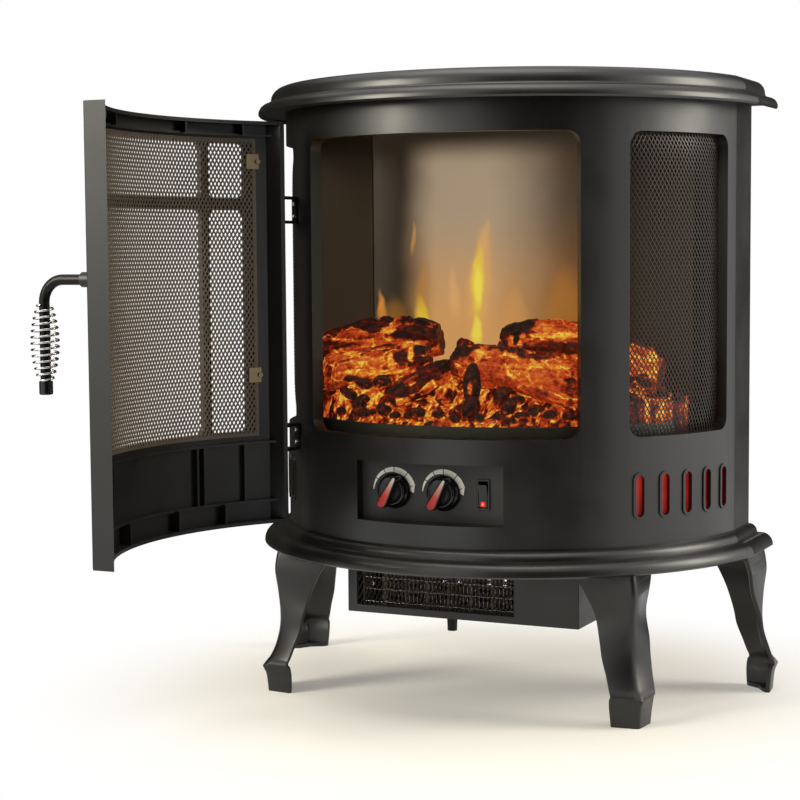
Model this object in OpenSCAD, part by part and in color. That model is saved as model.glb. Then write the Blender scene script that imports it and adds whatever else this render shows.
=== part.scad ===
// Electric stove heater with a half-round front, cabriole legs and a lit log bed.
// Frame: millimetres, +Z up, +X to the right, front towards -Y. The origin is on the
// floor, under the middle of the casing's depth and width.

/* [Body] */
// Radius of the half-round front of the casing
casing_r = 250; // [230:1:280]
// How far the two flat sides cut into the half round
side_cut = 1; // [0.5:0.5:12]
// Depth of the casing from the front to the flat back
casing_d = 286; // [260:1:320]
// Height of the casing above its windows
head_h = 34; // [28:1:60]
// Wall of the curved front casing
casing_wall = 3; // [2:0.5:4]
// Sheet metal of the rear case and the inner panels
sheet = 1.5; // [1:0.1:2]
// Height of the floor gap that the legs make
leg_h = 148; // [140:1:170]
// Clearance between separate pieces that don't bear on each other
gap = 0.3; // [0.2:0.05:0.4]
// Running clearance round shafts and pins, on the radius
run = 0.1; // [0.05:0.01:0.15]

/* [Base and top] */
// Height of the base moulding
base_h = 24; // [22:0.5:30]
// Overhang of the base moulding
base_out = 28; // [24:1:34]
// Height of the upper bead of the base
base_bead = 9; // [7:0.5:10]
// Floor of the base tray
base_floor = 4; // [3:0.5:6]
// Height of the top plate above the casing
top_h = 26; // [24:0.5:32]
// Overhang of the top plate
top_out = 29.5; // [26:0.5:34]
// Depth of the lip that hangs below the top plate
top_lip = 4; // [2:0.5:6]
// Radius of the top plate's shoulder
top_shoulder = 14; // [10:0.5:15]
// Radius of the top plate's lower bead
top_bead = 10; // [8:0.5:11]
// How much less base and top stand out at the sides than at the front
side_in = 2; // [0:0.5:3]
// How far base and top stand behind the casing
back_out = 1.5; // [0:0.5:6]
// Skin of the hollow top plate
top_skin = 4; // [3:0.5:6]

/* [Windows] */
// Height of the window sill above the base
sill_h = 107.5; // [100:0.5:112]
// Height of the windows
window_h = 297.5; // [280:0.5:305]
// Half angle of the front window
front_phi = 35.8; // [30:0.1:37]
// First angle of each side window
side_phi0 = 47.5; // [46:0.1:50]
// Last angle of each side window
side_phi1 = 80; // [76:0.1:81]
// Corner radius of the windows
window_rc = 13; // [8:0.5:18]
// Depth of the return around each window
window_lip = 12; // [9:0.5:14]
// Thickness of the clear pane
pane_t = 3; // [2:0.5:4]
// Thickness of the expanded metal
mesh_t = 1.2; // [0.8:0.1:1.5]
// Length of one diamond of the expanded metal as the plain solid draws it
diamond_w = 34; // [20:1:40]
// Height of one diamond of the expanded metal as the plain solid draws it
diamond_h = 23; // [13:1:28]

/* [Slots] */
// Slots under each side window
slot_count = 5; // [3:1:5]
// Angle of the first slot
slot_phi = 50.1; // [49:0.1:52]
// Angle between slots
slot_pitch = 7.05; // [6:0.05:7.2]
// Width of a slot
slot_w = 9.5; // [7:0.5:11]
// Height of a slot
slot_h = 41; // [34:1:46]
// Height of the slots' lower end above the base
slot_z = 29; // [24:1:36]
// Width of the pressed ring around a slot
ring_w = 2.8; // [2:0.2:4]
// Height of the pressed ring
ring_t = 1.5; // [1:0.1:2]

/* [Controls] */
// Half width of the control recess
ctl_half = 79; // [74:1:84]
// Height of the recess above the base
ctl_z = 22.5; // [18:0.5:28]
// Height of the recess
ctl_h = 60; // [56:1:66]
// Depth of the control panel behind the front
ctl_depth = 25; // [22:0.5:28]
// Diameter of a knob
knob_d = 36; // [32:1:40]
// Height of a knob
knob_h = 18; // [15:0.5:20]
// Diameter of the shaft that a knob turns on
shaft_d = 6; // [5:0.5:7]
// Place of the flame knob from the middle
knob_flame_x = -43; // [-46:0.5:-39]
// Place of the heat knob from the middle
knob_heat_x = 11; // [7:0.5:15]
// Place of the switch from the middle
switch_x = 53.5; // [51:0.5:58]
// Width of the switch
switch_w = 14; // [12:0.5:16]
// Height of the switch
switch_h = 31; // [28:0.5:34]
// Tilt of the rocker to either side of level
rocker_tilt = 7; // [5:0.5:9]

/* [Door] */
// Half width of the door
door_half = 164; // [158:1:168]
// Clearance between the closed door and the casing
door_gap = 5; // [4:0.5:7]
// Depth of the door from its rim to its outer face
door_d = 17; // [15:0.5:20]
// Skin of the door
door_skin = 4; // [3:0.5:5]
// Rim wall of the door
door_rim = 3.5; // [3:0.5:5]
// Height of the door's lower edge above the base
door_z = 14; // [10:0.5:20]
// How far the door stands above the windows
door_over = 17; // [12:1:22]
// Half angle of the door's middle panes
door_mid_phi = 19.9; // [15:0.1:21]
// Width of the door's uprights, as an angle
door_bar_phi = 2.4; // [1.8:0.1:3]
// Width of the door's outer stiles, as an angle
door_stile_phi = 5.88; // [5.4:0.02:7.6]
// Height of the door's top band
door_band = 22; // [18:0.5:26]
// Height of the upper panes
pane_top_h = 55; // [48:1:62]
// Height of the cross bar
door_bar_h = 12; // [10:0.5:14]
// Height of the solid lower panel
door_panel_h = 94.5; // [88:0.5:100]
// Distance of the hinge axis beyond the door's edge
hinge_out = 16; // [14:0.5:18]
// Diameter of the hinge pins
hinge_pin_d = 5; // [4:0.5:6]
// Height of a hinge
hinge_h = 28; // [24:1:34]
// Height of the lower hinge above the base
hinge_low = 84; // [76:1:92]
// Height of the door above its upper hinge
hinge_drop = 102; // [90:1:114]
// Angle at which the door stands open
door_open = 89; // [0:1:100]

/* [Handle] */
// Diameter of the handle rod
rod_d = 9.4; // [8:0.2:11]
// Height of the handle rod above the base
rod_z = 268; // [260:1:276]
// Distance of the handle rod from the door's edge
rod_in = 14.7; // [12:0.1:17]
// Reach of the handle rod in front of the door
rod_out = 45; // [40:1:52]
// Radius of the rod's bend
rod_bend = 20; // [16:1:24]
// Length of the spring grip
grip_h = 69; // [60:1:78]
// Outer diameter of the spring grip at its middle
grip_d = 26; // [22:0.5:30]
// Wire of the spring grip
grip_wire = 2; // [1.6:0.1:2.4]
// Turns of the spring grip
grip_turns = 12; // [9:1:13]
// Length of the end cap
cap_h = 12; // [10:0.5:15]

/* [Legs] */
// Angle of the front legs' ridge line from the front
leg_front_phi = 45.6; // [42:0.1:48]
// How far the front legs' ridge line stands outside the casing
leg_front_out = 23.7; // [20:0.1:26]
// How far the back legs' ridge line stands outside the casing
leg_back_out = 21; // [16:0.5:23]
// Distance of the back legs' ridge line from the casing's back
leg_back_in = 19.5; // [14:0.5:25]
// Wall of the hollow legs
leg_wall = 4.5; // [3.5:0.5:5.5]
// Rounding of the legs' ridge
leg_round = 5; // [3:0.5:7]

/* [Fire] */
// Depth of the fire chamber from the casing's front to the flame screen
chamber_d = 186; // [182:1:192]
// Half width of the opening in the firebox back
screen_half = 143; // [130:1:150]
// Distance of the ember bed's front inside the casing's arc
bed_in = 21; // [18:0.5:30]
// Height of the ember bed's front rim
bed_rim = 17; // [14:0.5:20]
// Diameter of the flicker rotor's vanes
flicker_d = 44; // [36:1:50]
// Number of vanes on the flicker rotor
flicker_vanes = 10; // [6:1:12]
// Diameter of a lamp
lamp_d = 34; // [28:1:38]

/* [Heater] */
// Half width of the heater housing
heater_half = 129; // [124:1:134]
// Distance of the heater's front in front of the middle
heater_front = 54; // [48:1:58]
// Depth of the heater housing
heater_d = 124; // [110:1:134]
// Height of the heater housing
heater_h = 64; // [60:1:70]
// Diameter of the blower wheel
blower_d = 42; // [36:1:44]
// Number of blades on the blower wheel
blower_blades = 20; // [12:1:24]

/* [Hidden] */
$fn = 72;
front_y = -casing_d / 2;
back_y = casing_d / 2;
arc_y = casing_r + front_y;
casing_half = casing_r - side_cut;
casing_h = sill_h + window_h + head_h;
edge_phi = asin(casing_half / casing_r);
casing_z = leg_h + base_h;
casing_top = casing_z + casing_h;
sill_z = casing_z + sill_h;
window_top = sill_z + window_h;
inner_r = casing_r - casing_wall;
lip_r = casing_r - window_lip;
lip_wall = 3;
lip_phi = 0.8;
far = 2 * casing_d + 200;
eps = 0.01;

// Control recess and what sits in it
ctl_z0 = casing_z + ctl_z;
ctl_mid = ctl_z0 + ctl_h * 0.49;
panel_y = front_y + ctl_depth;
panel_t = 3;
ctl_wall = 2.5;
knob_y = panel_y - 1;
bush_d = shaft_d + 3;
bush_depth = 14;
control_body = 24;
pivot_d = 3;

// Door, drawn closed and turned about its hinge
door_r0 = casing_r + door_gap;
door_r1 = door_r0 + door_d;
door_z0 = casing_z + door_z;
door_z1 = window_top + door_over;
door_phi = asin(door_half / door_r0) + 3;
door_pane_phi = asin(door_half / door_r1) - door_stile_phi;
door_inner_r = door_r1 - door_skin;
hinge_x = -door_half - hinge_out;
hinge_y = arc_y - sqrt(pow(door_r0 + 12, 2) - pow(door_half, 2)) - 2;
hinge_barrel_d = hinge_pin_d + 7;
hinge_ear = 3;
hinge_zs = [casing_z + hinge_low, door_z1 - hinge_drop];
door_mesh_r = door_inner_r - gap;
pane_rows = [
    [door_z0 + door_panel_h, door_z1 - door_band - pane_top_h - door_bar_h],
    [door_z1 - door_band - pane_top_h, door_z1 - door_band]];
pane_cols = [
    [-door_pane_phi, -door_mid_phi - door_bar_phi],
    [-door_mid_phi, door_mid_phi],
    [door_mid_phi + door_bar_phi, door_pane_phi]];

// Handle
rod_x = door_half - rod_in;
rod_phi = asin(rod_x / door_r1);
rod_skin_y = arc_y - door_r1 * cos(rod_phi);
rod_zc = casing_z + rod_z;
boss_d = rod_d + 4;
boss_y = rod_skin_y - 4;
nut_y = arc_y - door_inner_r * cos(rod_phi) + 6;
rod_down = grip_h + 4;
grip_y = rod_skin_y - rod_out;
grip_top = rod_zc - rod_bend - 1;
grip_end_d = rod_d + 2 * grip_wire + 0.4;

// Firebox
screen_y = front_y + chamber_d;
bed_r = casing_r - bed_in;
bed_z0 = sill_z - 3.5;
bed_z1 = bed_z0 + bed_rim;
floor_r = lip_r - lip_wall - pane_t - 1;
floor_z = bed_z0 - sheet;
back_sheet_y = screen_y - sheet;
back_half = sqrt(pow(casing_r - 22, 2) - pow(arc_y - back_sheet_y, 2)) - 2;
screen_t = 3;
reflector_half = screen_half - 13;
roof_z = window_top + 14;
reflector_y = screen_y + screen_t + 14;
flicker_space = back_y - sheet - (reflector_y + sheet);
rotor_y = reflector_y + sheet + flicker_d / 2 + 7.5;
rotor_z = bed_z0 + 14;
rotor_half = 118;
rotor_shaft = 4;

// Heater
heater_z0 = leg_h - heater_h;
heater_back = heater_d - heater_front;
heater_mid_z = leg_h - heater_h / 2 - 2;
grille_x0 = -heater_half + 11;
grille_x1 = heater_half * 0.46;
grille_z0 = heater_z0 + 8;
grille_z1 = leg_h - 9;
blower_y = 22;
blower_x0 = grille_x0 + 4;
blower_x1 = grille_x1 - 12;
fan_shaft = 5;

// ---- helpers ---------------------------------------------------------------------------

// Points on a circle from angle a0 to a1
function arc_pts(cx, cy, r, a0, a1, n = 6) =
    [for (i = [0:n]) let (a = a0 + (a1 - a0) * i / n) [cx + r * cos(a), cy + r * sin(a)]];

function lerp(a, b, t) = a + (b - a) * t;

// Catmull-Rom step between rows b and c of a table
function crom(a, b, c, d, t) = 0.5 * (2 * b + (c - a) * t + (2 * a - 5 * b + 4 * c - d) * t * t
    + (3 * b - a - 3 * c + d) * t * t * t);

function smooth_rows(rows, sub) = concat(
    [for (i = [0:len(rows) - 2], k = [0:sub - 1])
        crom(rows[max(i - 1, 0)], rows[i], rows[i + 1], rows[min(i + 2, len(rows) - 1)], k / sub)],
    [rows[len(rows) - 1]]);

// Wall of a cylinder about the casing's axis, between two angles from the front
module arc_wall(r0, r1, phi0, phi1, z0, z1) {
    translate([0, arc_y, z0]) rotate([0, 0, phi0 - 90])
        rotate_extrude(angle = phi1 - phi0) translate([r0, 0]) square([r1 - r0, z1 - z0]);
}

// Local frame on the casing's arc: X along the arc, -Y outwards, Z up
module on_arc(phi, r, z = 0) {
    translate([0, arc_y, z]) rotate([0, 0, phi]) translate([0, -r, 0]) children();
}

// 2D shape (X along the arc, Y up) extruded outwards from r0 to r1
module radial(phi, z, r0, r1) {
    on_arc(phi, r0, z) rotate([90, 0, 0]) linear_extrude(r1 - r0) children();
}

module corner_fill(rc) {
    polygon(concat([[-1, -1], [rc + 8, -1]], arc_pts(rc, rc, rc, 263, 187), [[-1, rc + 8]]));
}

// Window-shaped block on the arc with rounded corners
module arc_window(r0, r1, phi0, phi1, z0, z1, rc) {
    difference() {
        arc_wall(r0, r1, phi0, phi1, z0, z1);
        for (sx = [0, 1], sz = [0, 1])
            radial(sx == 0 ? phi0 : phi1, sz == 0 ? z0 : z1, r0 - 1, r1 + 1)
                mirror([sx, 0]) mirror([0, sz]) corner_fill(rc);
    }
}

module stadium(w, h) {
    square([w, h - w], center = true);
    for (s = [-1, 1]) translate([0, s * (h - w) / 2]) circle(d = w);
}

module rounded_rect(w, h, r) {
    x = w / 2 - r;
    y = h / 2 - r;
    polygon(concat(arc_pts(x, y, r, 0, 90), arc_pts(-x, y, r, 90, 180),
        arc_pts(-x, -y, r, 180, 270), arc_pts(x, -y, r, 270, 360)));
}

// Plan of the casing, grown by d
module casing_plan(d = 0) {
    intersection() {
        union() {
            translate([0, arc_y]) circle(casing_r + d);
            translate([-casing_r - d, arc_y]) square([2 * (casing_r + d), back_y - arc_y + d]);
        }
        translate([-casing_half - d, arc_y - casing_r - d])
            square([2 * (casing_half + d), casing_d + 2 * d]);
    }
}

// Moulding with the profile pts = [[offset, z], ...] carried round the front and sides,
// mitred where they meet and cut off flush at the back
module moulding(pts, z0, z1, trim = 0) {
    intersection() {
        union() {
            translate([0, arc_y, 0]) rotate([0, 0, 180]) rotate_extrude(angle = 180)
                polygon(concat([[0, z0]], [for (p = pts) [casing_r + p[0], p[1]]], [[0, z1]]));
            translate([0, arc_y + casing_d, 0]) rotate([90, 0, 0]) linear_extrude(casing_d)
                polygon(both_sides(pts, casing_r));
        }
        translate([0, back_y + back_out - trim, 0]) rotate([90, 0, 0]) linear_extrude(far)
            polygon(both_sides(pts, casing_half - side_in));
    }
}

function both_sides(pts, half) = concat([for (p = pts) [half + p[0], p[1]]],
    [for (i = [len(pts) - 1:-1:0]) [-half - pts[i][0], pts[i][1]]]);

// Closed solid through rings of points that run counter-clockwise seen from the far end
module loft(rings) {
    n = len(rings[0]);
    m = len(rings);
    polyhedron(points = [for (r = rings, p = r) p],
        faces = concat([[for (j = [0:n - 1]) j]],
            [for (i = [0:m - 2], j = [0:n - 1], h = [0, 1]) let (a = i * n, b = a + n, k = (j + 1) % n)
                h == 0 ? [a + j, b + j, b + k] : [a + j, b + k, a + k]],
            [[for (j = [n - 1:-1:0]) (m - 1) * n + j]]),
        convexity = 6);
}

// Pan-head screw with its head at the origin, pointing towards -Z
module pan_screw(head_d, head_h, shank_d, shank_l) {
    rotate_extrude() polygon(concat(
        [[0, -shank_l], [shank_d / 2, -shank_l], [shank_d / 2, 0], [head_d / 2, 0]],
        arc_pts(head_d / 2 - head_h * 0.7, head_h * 0.3, head_h * 0.7, 0, 90, 4), [[0, head_h]]));
}

module door_turn() {
    translate([hinge_x, hinge_y, 0]) rotate([0, 0, -door_open]) translate([-hinge_x, -hinge_y, 0])
        children();
}

// ---- top and base ----------------------------------------------------------------------

top_profile = let (z0 = casing_top - top_lip, z1 = casing_top + top_h, b = top_out - top_bead) concat(
    [[top_out - 1.5, z0], [top_out, z0 + 2]],
    arc_pts(b, z0 + 2.5, top_bead, 0, 90),
    arc_pts(b, z0 + 16, 3.5, 270, 180, 4),
    arc_pts(2, z1 - top_shoulder, top_shoulder, 0, 90));

top_hollow = let (r = top_shoulder - top_skin) concat([[2 + r, casing_top + top_skin]],
    arc_pts(2, casing_top + top_h - top_shoulder, r, 0, 90));

module top_plate() {
    color("#33342f") difference() {
        moulding(top_profile, casing_top - top_lip, casing_top + top_h);
        translate([0, 0, casing_top - top_lip - 1]) linear_extrude(top_lip + 1) casing_plan(top_out - 4);
        difference() {
            union() {
                translate([0, 0, casing_top - 1]) linear_extrude(top_h + 1 - top_skin) casing_plan(-22);
                moulding(top_hollow, casing_top + top_skin, casing_top + top_h - top_skin, top_skin);
            }
            for (x = [-150:100:150]) translate([x - 2, -far / 2, casing_top + 6]) cube([4, far, top_h]);
            for (y = [-60, 40]) translate([-far / 2, y - 2, casing_top + 6]) cube([far, 4, top_h]);
        }
        for (p = top_screws) translate([p[0], p[1], casing_top - 1]) cylinder(d = 3.6 + 2 * gap, h = 13);
    }
}

// Screws that come up through the casing's flange, and the two that show under the overhang
top_screws = concat(
    [for (phi = [-66, -33, 0, 33, 66]) [(inner_r - 9) * sin(phi), arc_y - (inner_r - 9) * cos(phi)]],
    [for (x = [-180, 180]) [x, back_y - 12]]);

base_profile = let (z1 = casing_z, r = base_h - base_bead - 3, b = base_out - r) concat(
    [[base_out - 3, leg_h], [base_out, leg_h + 2]],
    arc_pts(b, leg_h + 3, r, 0, 90),
    arc_pts(2, z1 - base_bead, base_bead, 0, 90));

base_hollow = let (z1 = casing_z, r = base_h - base_bead - 3, b = base_out - r, t = base_floor) concat(
    [[base_out - t - 0.5, leg_h + t]], arc_pts(b, leg_h + 3, r - t, 15, 90),
    arc_pts(2, z1 - base_bead, base_bead - t, 0, 90));

module base_plate() {
    color("#2e2f2b") difference() {
        moulding(base_profile, leg_h, casing_z);
        translate([0, 0, leg_h + base_floor]) linear_extrude(base_h) casing_plan(-22);
        moulding(base_hollow, leg_h + base_floor, casing_z - base_floor, base_floor);
        translate([0, -20 + heater_back / 2, leg_h - 1])
            linear_extrude(base_floor + 2) rounded_rect(2 * heater_half - 60, heater_d - 60, 6);
        for (x = [-60:20:60], y = [-118, -106]) translate([x, y, leg_h - 1]) linear_extrude(base_floor + 2)
            rotate(90) stadium(4, 14);
        for (p = leg_bolt_spots) translate([p[0], p[1], leg_h - 1])
            cylinder(d = bolt_d + 2 * gap, h = base_floor + 2);
    }
}

// ---- casing ----------------------------------------------------------------------------

module slot_places() {
    for (s = [-1, 1], i = [0:slot_count - 1])
        let (phi = s * (slot_phi + slot_pitch * i), z = casing_z + slot_z + slot_h / 2)
            radial(phi, z, inner_r - 1, casing_r + 4) children();
}

module front_windows(r0, r1) {
    for (w = [[-front_phi, front_phi], [side_phi0, side_phi1], [-side_phi1, -side_phi0]])
        arc_window(r0, r1, w[0], w[1], sill_z, window_top, window_rc);
}

module recess_block(grow, y1) {
    translate([-ctl_half - grow, front_y - 5, ctl_z0 - grow])
        cube([2 * (ctl_half + grow), y1 - front_y + 5, ctl_h + 2 * grow]);
}

module front_casing() {
    color("#2f302c") difference() {
        union() {
            arc_wall(inner_r, casing_r, -edge_phi, edge_phi, casing_z, casing_top);
            arc_wall(inner_r - 20, inner_r + 1, 0.5 - edge_phi, edge_phi - 0.5, casing_top - 3, casing_top - gap);
            arc_wall(inner_r - 16, inner_r + 1, 0.5 - edge_phi, edge_phi - 0.5, casing_z + gap, casing_z + 3);
            for (w = [[-front_phi, front_phi], [side_phi0, side_phi1], [-side_phi1, -side_phi0]])
                arc_wall(lip_r, inner_r + 1, w[0] - lip_phi, w[1] + lip_phi,
                    sill_z - lip_wall, window_top + lip_wall);
            intersection() {
                slot_places() stadium(slot_w + 2 * ring_w, slot_h + 2 * ring_w);
                arc_wall(inner_r + 1, casing_r + ring_t, -edge_phi, edge_phi, casing_z, casing_top);
            }
            intersection() {
                recess_block(ctl_wall, panel_y);
                translate([0, arc_y, 0]) cylinder(r = casing_r - 1, h = far);
            }
        }
        front_windows(lip_r - 5, casing_r + 5);
        slot_places() stadium(slot_w, slot_h);
        recess_block(0, panel_y + 1);
        for (p = top_screws) translate([p[0], p[1], casing_top - 4]) cylinder(d = 3.6 + 2 * gap, h = 5);
        for (z = hinge_zs) for (dz = hinge_screw_dz)
            radial(hinge_phi, z + dz, inner_r - 1, casing_r + 1) circle(d = 3 + 2 * gap);
    }
}

module louvre(w, h) {
    translate([-w / 2, 0, 0]) rotate([90, 0, 90]) linear_extrude(w)
        polygon([[0, 0], [h * 0.7, 0], [0, h]]);
}

louvre_w = 60;
louvre_h = 9;
louvre_places = [for (x = [-150, -75, 75, 150], i = [0:4]) [x, casing_z + 40 + i * 18]];
cover_w = 190;
cover_h = 130;
cover_z = casing_z + 190;

module rear_case() {
    color("#262724") difference() {
        union() {
            translate([0, 0, casing_z]) linear_extrude(casing_h) difference() {
                casing_plan(0);
                casing_plan(-sheet);
                translate([-far / 2, -far]) square([far, far + edge_y() + gap]);
            }
            for (z = [casing_z, casing_top - sheet]) translate([0, 0, z]) linear_extrude(sheet)
                difference() {
                    casing_plan(-eps);
                    casing_plan(-18);
                    translate([-far / 2, -far]) square([far, far + edge_y() + 2]);
                }
            for (p = louvre_places) translate([p[0], back_y - eps, p[1]]) louvre(louvre_w, louvre_h);
        }
        for (p = louvre_places) translate([p[0], back_y - sheet - eps, p[1]])
            translate([0, 0, -1.5]) louvre(louvre_w - 3, louvre_h);
        translate([0, back_y + 1, cover_z]) rotate([90, 0, 0]) linear_extrude(sheet + 2)
            rounded_rect(cover_w - 24, cover_h - 24, 6);
        for (x = [-180, 180]) translate([x, back_y - 12, casing_top - 4]) cylinder(d = 3.6 + 2 * gap, h = 5);
        for (p = rear_screw_places) translate([p[0], back_y + 1, p[1]]) rotate([90, 0, 0])
            cylinder(d = 3.5 + 2 * gap, h = sheet + 2);
    }
}

function edge_y() = arc_y - casing_r * cos(edge_phi);

module service_cover() {
    color("#232421") difference() {
        translate([0, back_y + sheet, cover_z]) rotate([90, 0, 0]) union() {
            linear_extrude(sheet) rounded_rect(cover_w, cover_h, 8);
            difference() {
                linear_extrude(sheet + 2.5) rounded_rect(cover_w - 26, cover_h - 26, 5);
                translate([0, 0, sheet]) linear_extrude(4) rounded_rect(cover_w - 30, cover_h - 30, 4);
            }
        }
        for (p = rear_screw_places) translate([p[0], back_y + sheet + 1, p[1]]) rotate([90, 0, 0])
            cylinder(d = 3.5 + 2 * gap, h = sheet + 2);
        for (i = [-3:3]) translate([i * 18, back_y + 3, cover_z]) rotate([90, 0, 0])
            linear_extrude(8) stadium(5, 60);
    }
}

rear_screw_places = [for (sx = [-1, 1], sz = [-1, 1])
    [sx * (cover_w / 2 - 6), cover_z + sz * (cover_h / 2 - 6)]];

module casing_screws() {
    color("#8f8f8a") {
        for (p = top_screws) translate([p[0], p[1], casing_top - 3]) rotate([180, 0, 0])
            pan_screw(7, 2.4, 3.6, 12);
        for (p = rear_screw_places) translate([p[0], back_y + sheet, p[1]]) rotate([-90, 0, 0])
            pan_screw(7, 2.4, 3.5, sheet + 8);
        for (z = hinge_zs) for (dz = hinge_screw_dz)
            on_arc(hinge_phi, casing_r + hinge_ear, z + dz) rotate([90, 0, 0]) pan_screw(5, 1.6, 3, 8);
    }
}

gland_x = -58;
gland_y = 58;

module cord_gland() {
    color("#141413") translate([gland_x, gland_y, 0]) rotate_extrude() difference() {
        polygon([[0, heater_z0], [9, heater_z0], [9, heater_z0 - 3], [6.5, heater_z0 - 5],
            [5.2, heater_z0 - 36], [0, heater_z0 - 36]]);
        translate([0, heater_z0 - 37]) square([3.4, 40]);
    }
}

// ---- windows ---------------------------------------------------------------------------

module window_pane() {
    color("#c8ccc8") arc_wall(lip_r - gap - pane_t, lip_r - gap, -front_phi - 2.2, front_phi + 2.2,
        sill_z - 4, window_top + 5);
}

// Curved sheet of expanded metal: a solid rim with rows of diamonds inside it
module mesh_sheet(r1, phi0, phi1, z0, z1, rim) {
    rr = r1 - mesh_t / 2;
    arc_len = (phi1 - phi0) * PI / 180 * rr - 2 * rim;
    cols = floor(arc_len / diamond_w);
    rows = floor((z1 - z0 - 2 * rim) / diamond_h);
    pitch_phi = (arc_len / cols) / rr * 180 / PI;
    pitch_z = (z1 - z0 - 2 * rim) / rows;
    rim_phi = rim / rr * 180 / PI;
    difference() {
        arc_wall(r1 - mesh_t, r1, phi0, phi1, z0, z1);
        for (j = [0:2 * rows - 2]) let (odd = j % 2, z = z0 + rim + (j + 1) * pitch_z / 2)
            for (i = [0:cols - 1 - (odd == 0 ? 0 : 1)])
                radial(phi0 + rim_phi + (i + 0.5 + odd / 2) * pitch_phi, z, r1 - mesh_t - 1, r1 + 1)
                    diamond(arc_len / cols - 4.5, pitch_z - 3);
    }
}

module diamond(w, h) {
    polygon([[-w / 2, 0], [0, -h / 2], [w / 2, 0], [0, h / 2]]);
}

module side_mesh(phi0, phi1) {
    color("#3a3733") mesh_sheet(lip_r - gap, phi0, phi1, sill_z - 4, window_top + 5, 8);
}

module side_mesh_right() { side_mesh(side_phi0 - 1.8, side_phi1 + 1.5); }

module side_mesh_left() { side_mesh(-side_phi1 - 1.5, 1.8 - side_phi0); }

module slot_films() {
    z = casing_z + slot_z;
    color("#7a1712") for (s = [-1, 1]) let (a = s * (slot_phi - 2.6),
        b = s * (slot_phi + slot_pitch * (slot_count - 1) + 2.4))
        arc_wall(inner_r - gap - 0.8, inner_r - gap, min(a, b), max(a, b), z - 4, z + slot_h + 4);
}

// ---- controls --------------------------------------------------------------------------

module control_panel() {
    color("#1d1d1b") difference() {
        translate([-ctl_half - 6, panel_y, ctl_z0 - 6]) cube([2 * ctl_half + 12, panel_t, ctl_h + 12]);
        for (x = [knob_flame_x, knob_heat_x]) translate([x, panel_y - 1, ctl_mid]) rotate([-90, 0, 0])
            cylinder(d = bush_d + 2 * gap, h = panel_t + 2);
        translate([switch_x, panel_y + panel_t + 1, ctl_mid]) rotate([90, 0, 0])
            linear_extrude(panel_t + 2) square([switch_w - 2 + 2 * gap, switch_h - 2 + 2 * gap], center = true);
    }
}

// Control unit behind the panel with the bush that carries the knob's stem
module control_unit(x, body_d) {
    translate([x, panel_y + panel_t, ctl_mid]) rotate([-90, 0, 0]) {
        difference() {
            union() {
                cylinder(d = body_d, h = control_body);
                translate([0, 0, -panel_t]) cylinder(d = bush_d, h = panel_t + 1);
                translate([-body_d * 0.35, -body_d * 0.62, 4]) cube([body_d * 0.7, body_d * 0.3, 12]);
            }
            translate([0, 0, control_body - 2]) cylinder(d = body_d - 8, h = 3);
            translate([0, 0, -panel_t - 1]) cylinder(d = shaft_d + 2 * run, h = bush_depth + 2);
        }
        for (s = [-1, 0, 1]) translate([s * 6 - 1.5, -body_d / 2 - 7, control_body * 0.55]) cube([3, 9, 0.8]);
    }
}

module dimmer() { color("#4d4a45") control_unit(knob_flame_x, 26); }

module thermostat() { color("#6b6964") control_unit(knob_heat_x, 30); }

pointer_turn = 29;
pointer_w = 8;
bar_w = 12;
bar_reach = knob_d / 2 - 0.4;

// Outline that runs from a wide round end to a narrow one, which points along +Y
module teardrop(wide, tip, reach) {
    a = asin((wide - tip) / (4 * reach - wide - tip));
    polygon(concat(arc_pts(0, reach - tip / 2, tip / 2, a, 180 - a, 6),
        arc_pts(0, wide / 2 - reach, wide / 2, 180 - a, 360 + a, 12)));
}

// Knob with its face towards -Z, before it is laid on the panel
module knob_body() {
    difference() {
        union() {
            rotate_extrude() polygon(concat([[0, 0], [knob_d / 2, 0], [knob_d / 2, 2]],
                arc_pts(knob_d / 2 - 3, 3.5, 2.2, 0, 90, 4),
                arc_pts(knob_d / 2 - 3, knob_h * 0.52, 2.2, 270, 180, 4), [[0, knob_h * 0.52]]));
            translate([0, 0, 1]) linear_extrude(knob_h - 1) teardrop(bar_w, bar_w * 0.54, bar_reach);
        }
        translate([0, 0, knob_h - 1.2]) linear_extrude(2) pointer_outline();
        translate([0, 0, -1]) difference() {
            cylinder(d = knob_d - 5, h = 5.6);
            cylinder(d = shaft_d + 5, h = knob_h);
            for (a = [0:60:300]) rotate(a + 30) translate([0, -0.7]) cube([knob_d, 1.4, knob_h]);
        }
    }
    translate([0, 0, -1 - bush_depth]) cylinder(d = shaft_d, h = bush_depth + 2);
}

module pointer_outline() { teardrop(pointer_w, pointer_w * 0.34, bar_reach - 1); }

module on_panel(x) {
    translate([x, knob_y, ctl_mid]) rotate([0, pointer_turn, 0]) rotate([90, 0, 0]) children();
}

module pointer() {
    translate([0, 0, knob_h - 1.2]) linear_extrude(1.6) pointer_outline();
}

module knob_flame() { color("#161615") on_panel(knob_flame_x) knob_body(); }

module knob_flame_pointer() { color("#b8281c") on_panel(knob_flame_x) pointer(); }

module knob_heat() { color("#161615") on_panel(knob_heat_x) knob_body(); }

module knob_heat_pointer() { color("#b8281c") on_panel(knob_heat_x) pointer(); }

module switch_bezel() {
    color("#101010") translate([switch_x, panel_y, ctl_mid]) difference() {
        union() {
            translate([0, 0, 0]) rotate([90, 0, 0]) linear_extrude(1.6) rounded_rect(switch_w, switch_h, 1.5);
            translate([-switch_w / 2 + 1, 0, -switch_h / 2 + 1]) cube([switch_w - 2, 18, switch_h - 2]);
        }
        translate([-switch_w / 2 + 2.2, -3, -switch_h / 2 + 2.2]) cube([switch_w - 4.4, 14, switch_h - 4.4]);
        translate([-switch_w / 2, 5, 0]) rotate([0, 90, 0]) cylinder(d = pivot_d + 2 * run, h = switch_w);
    }
}

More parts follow.
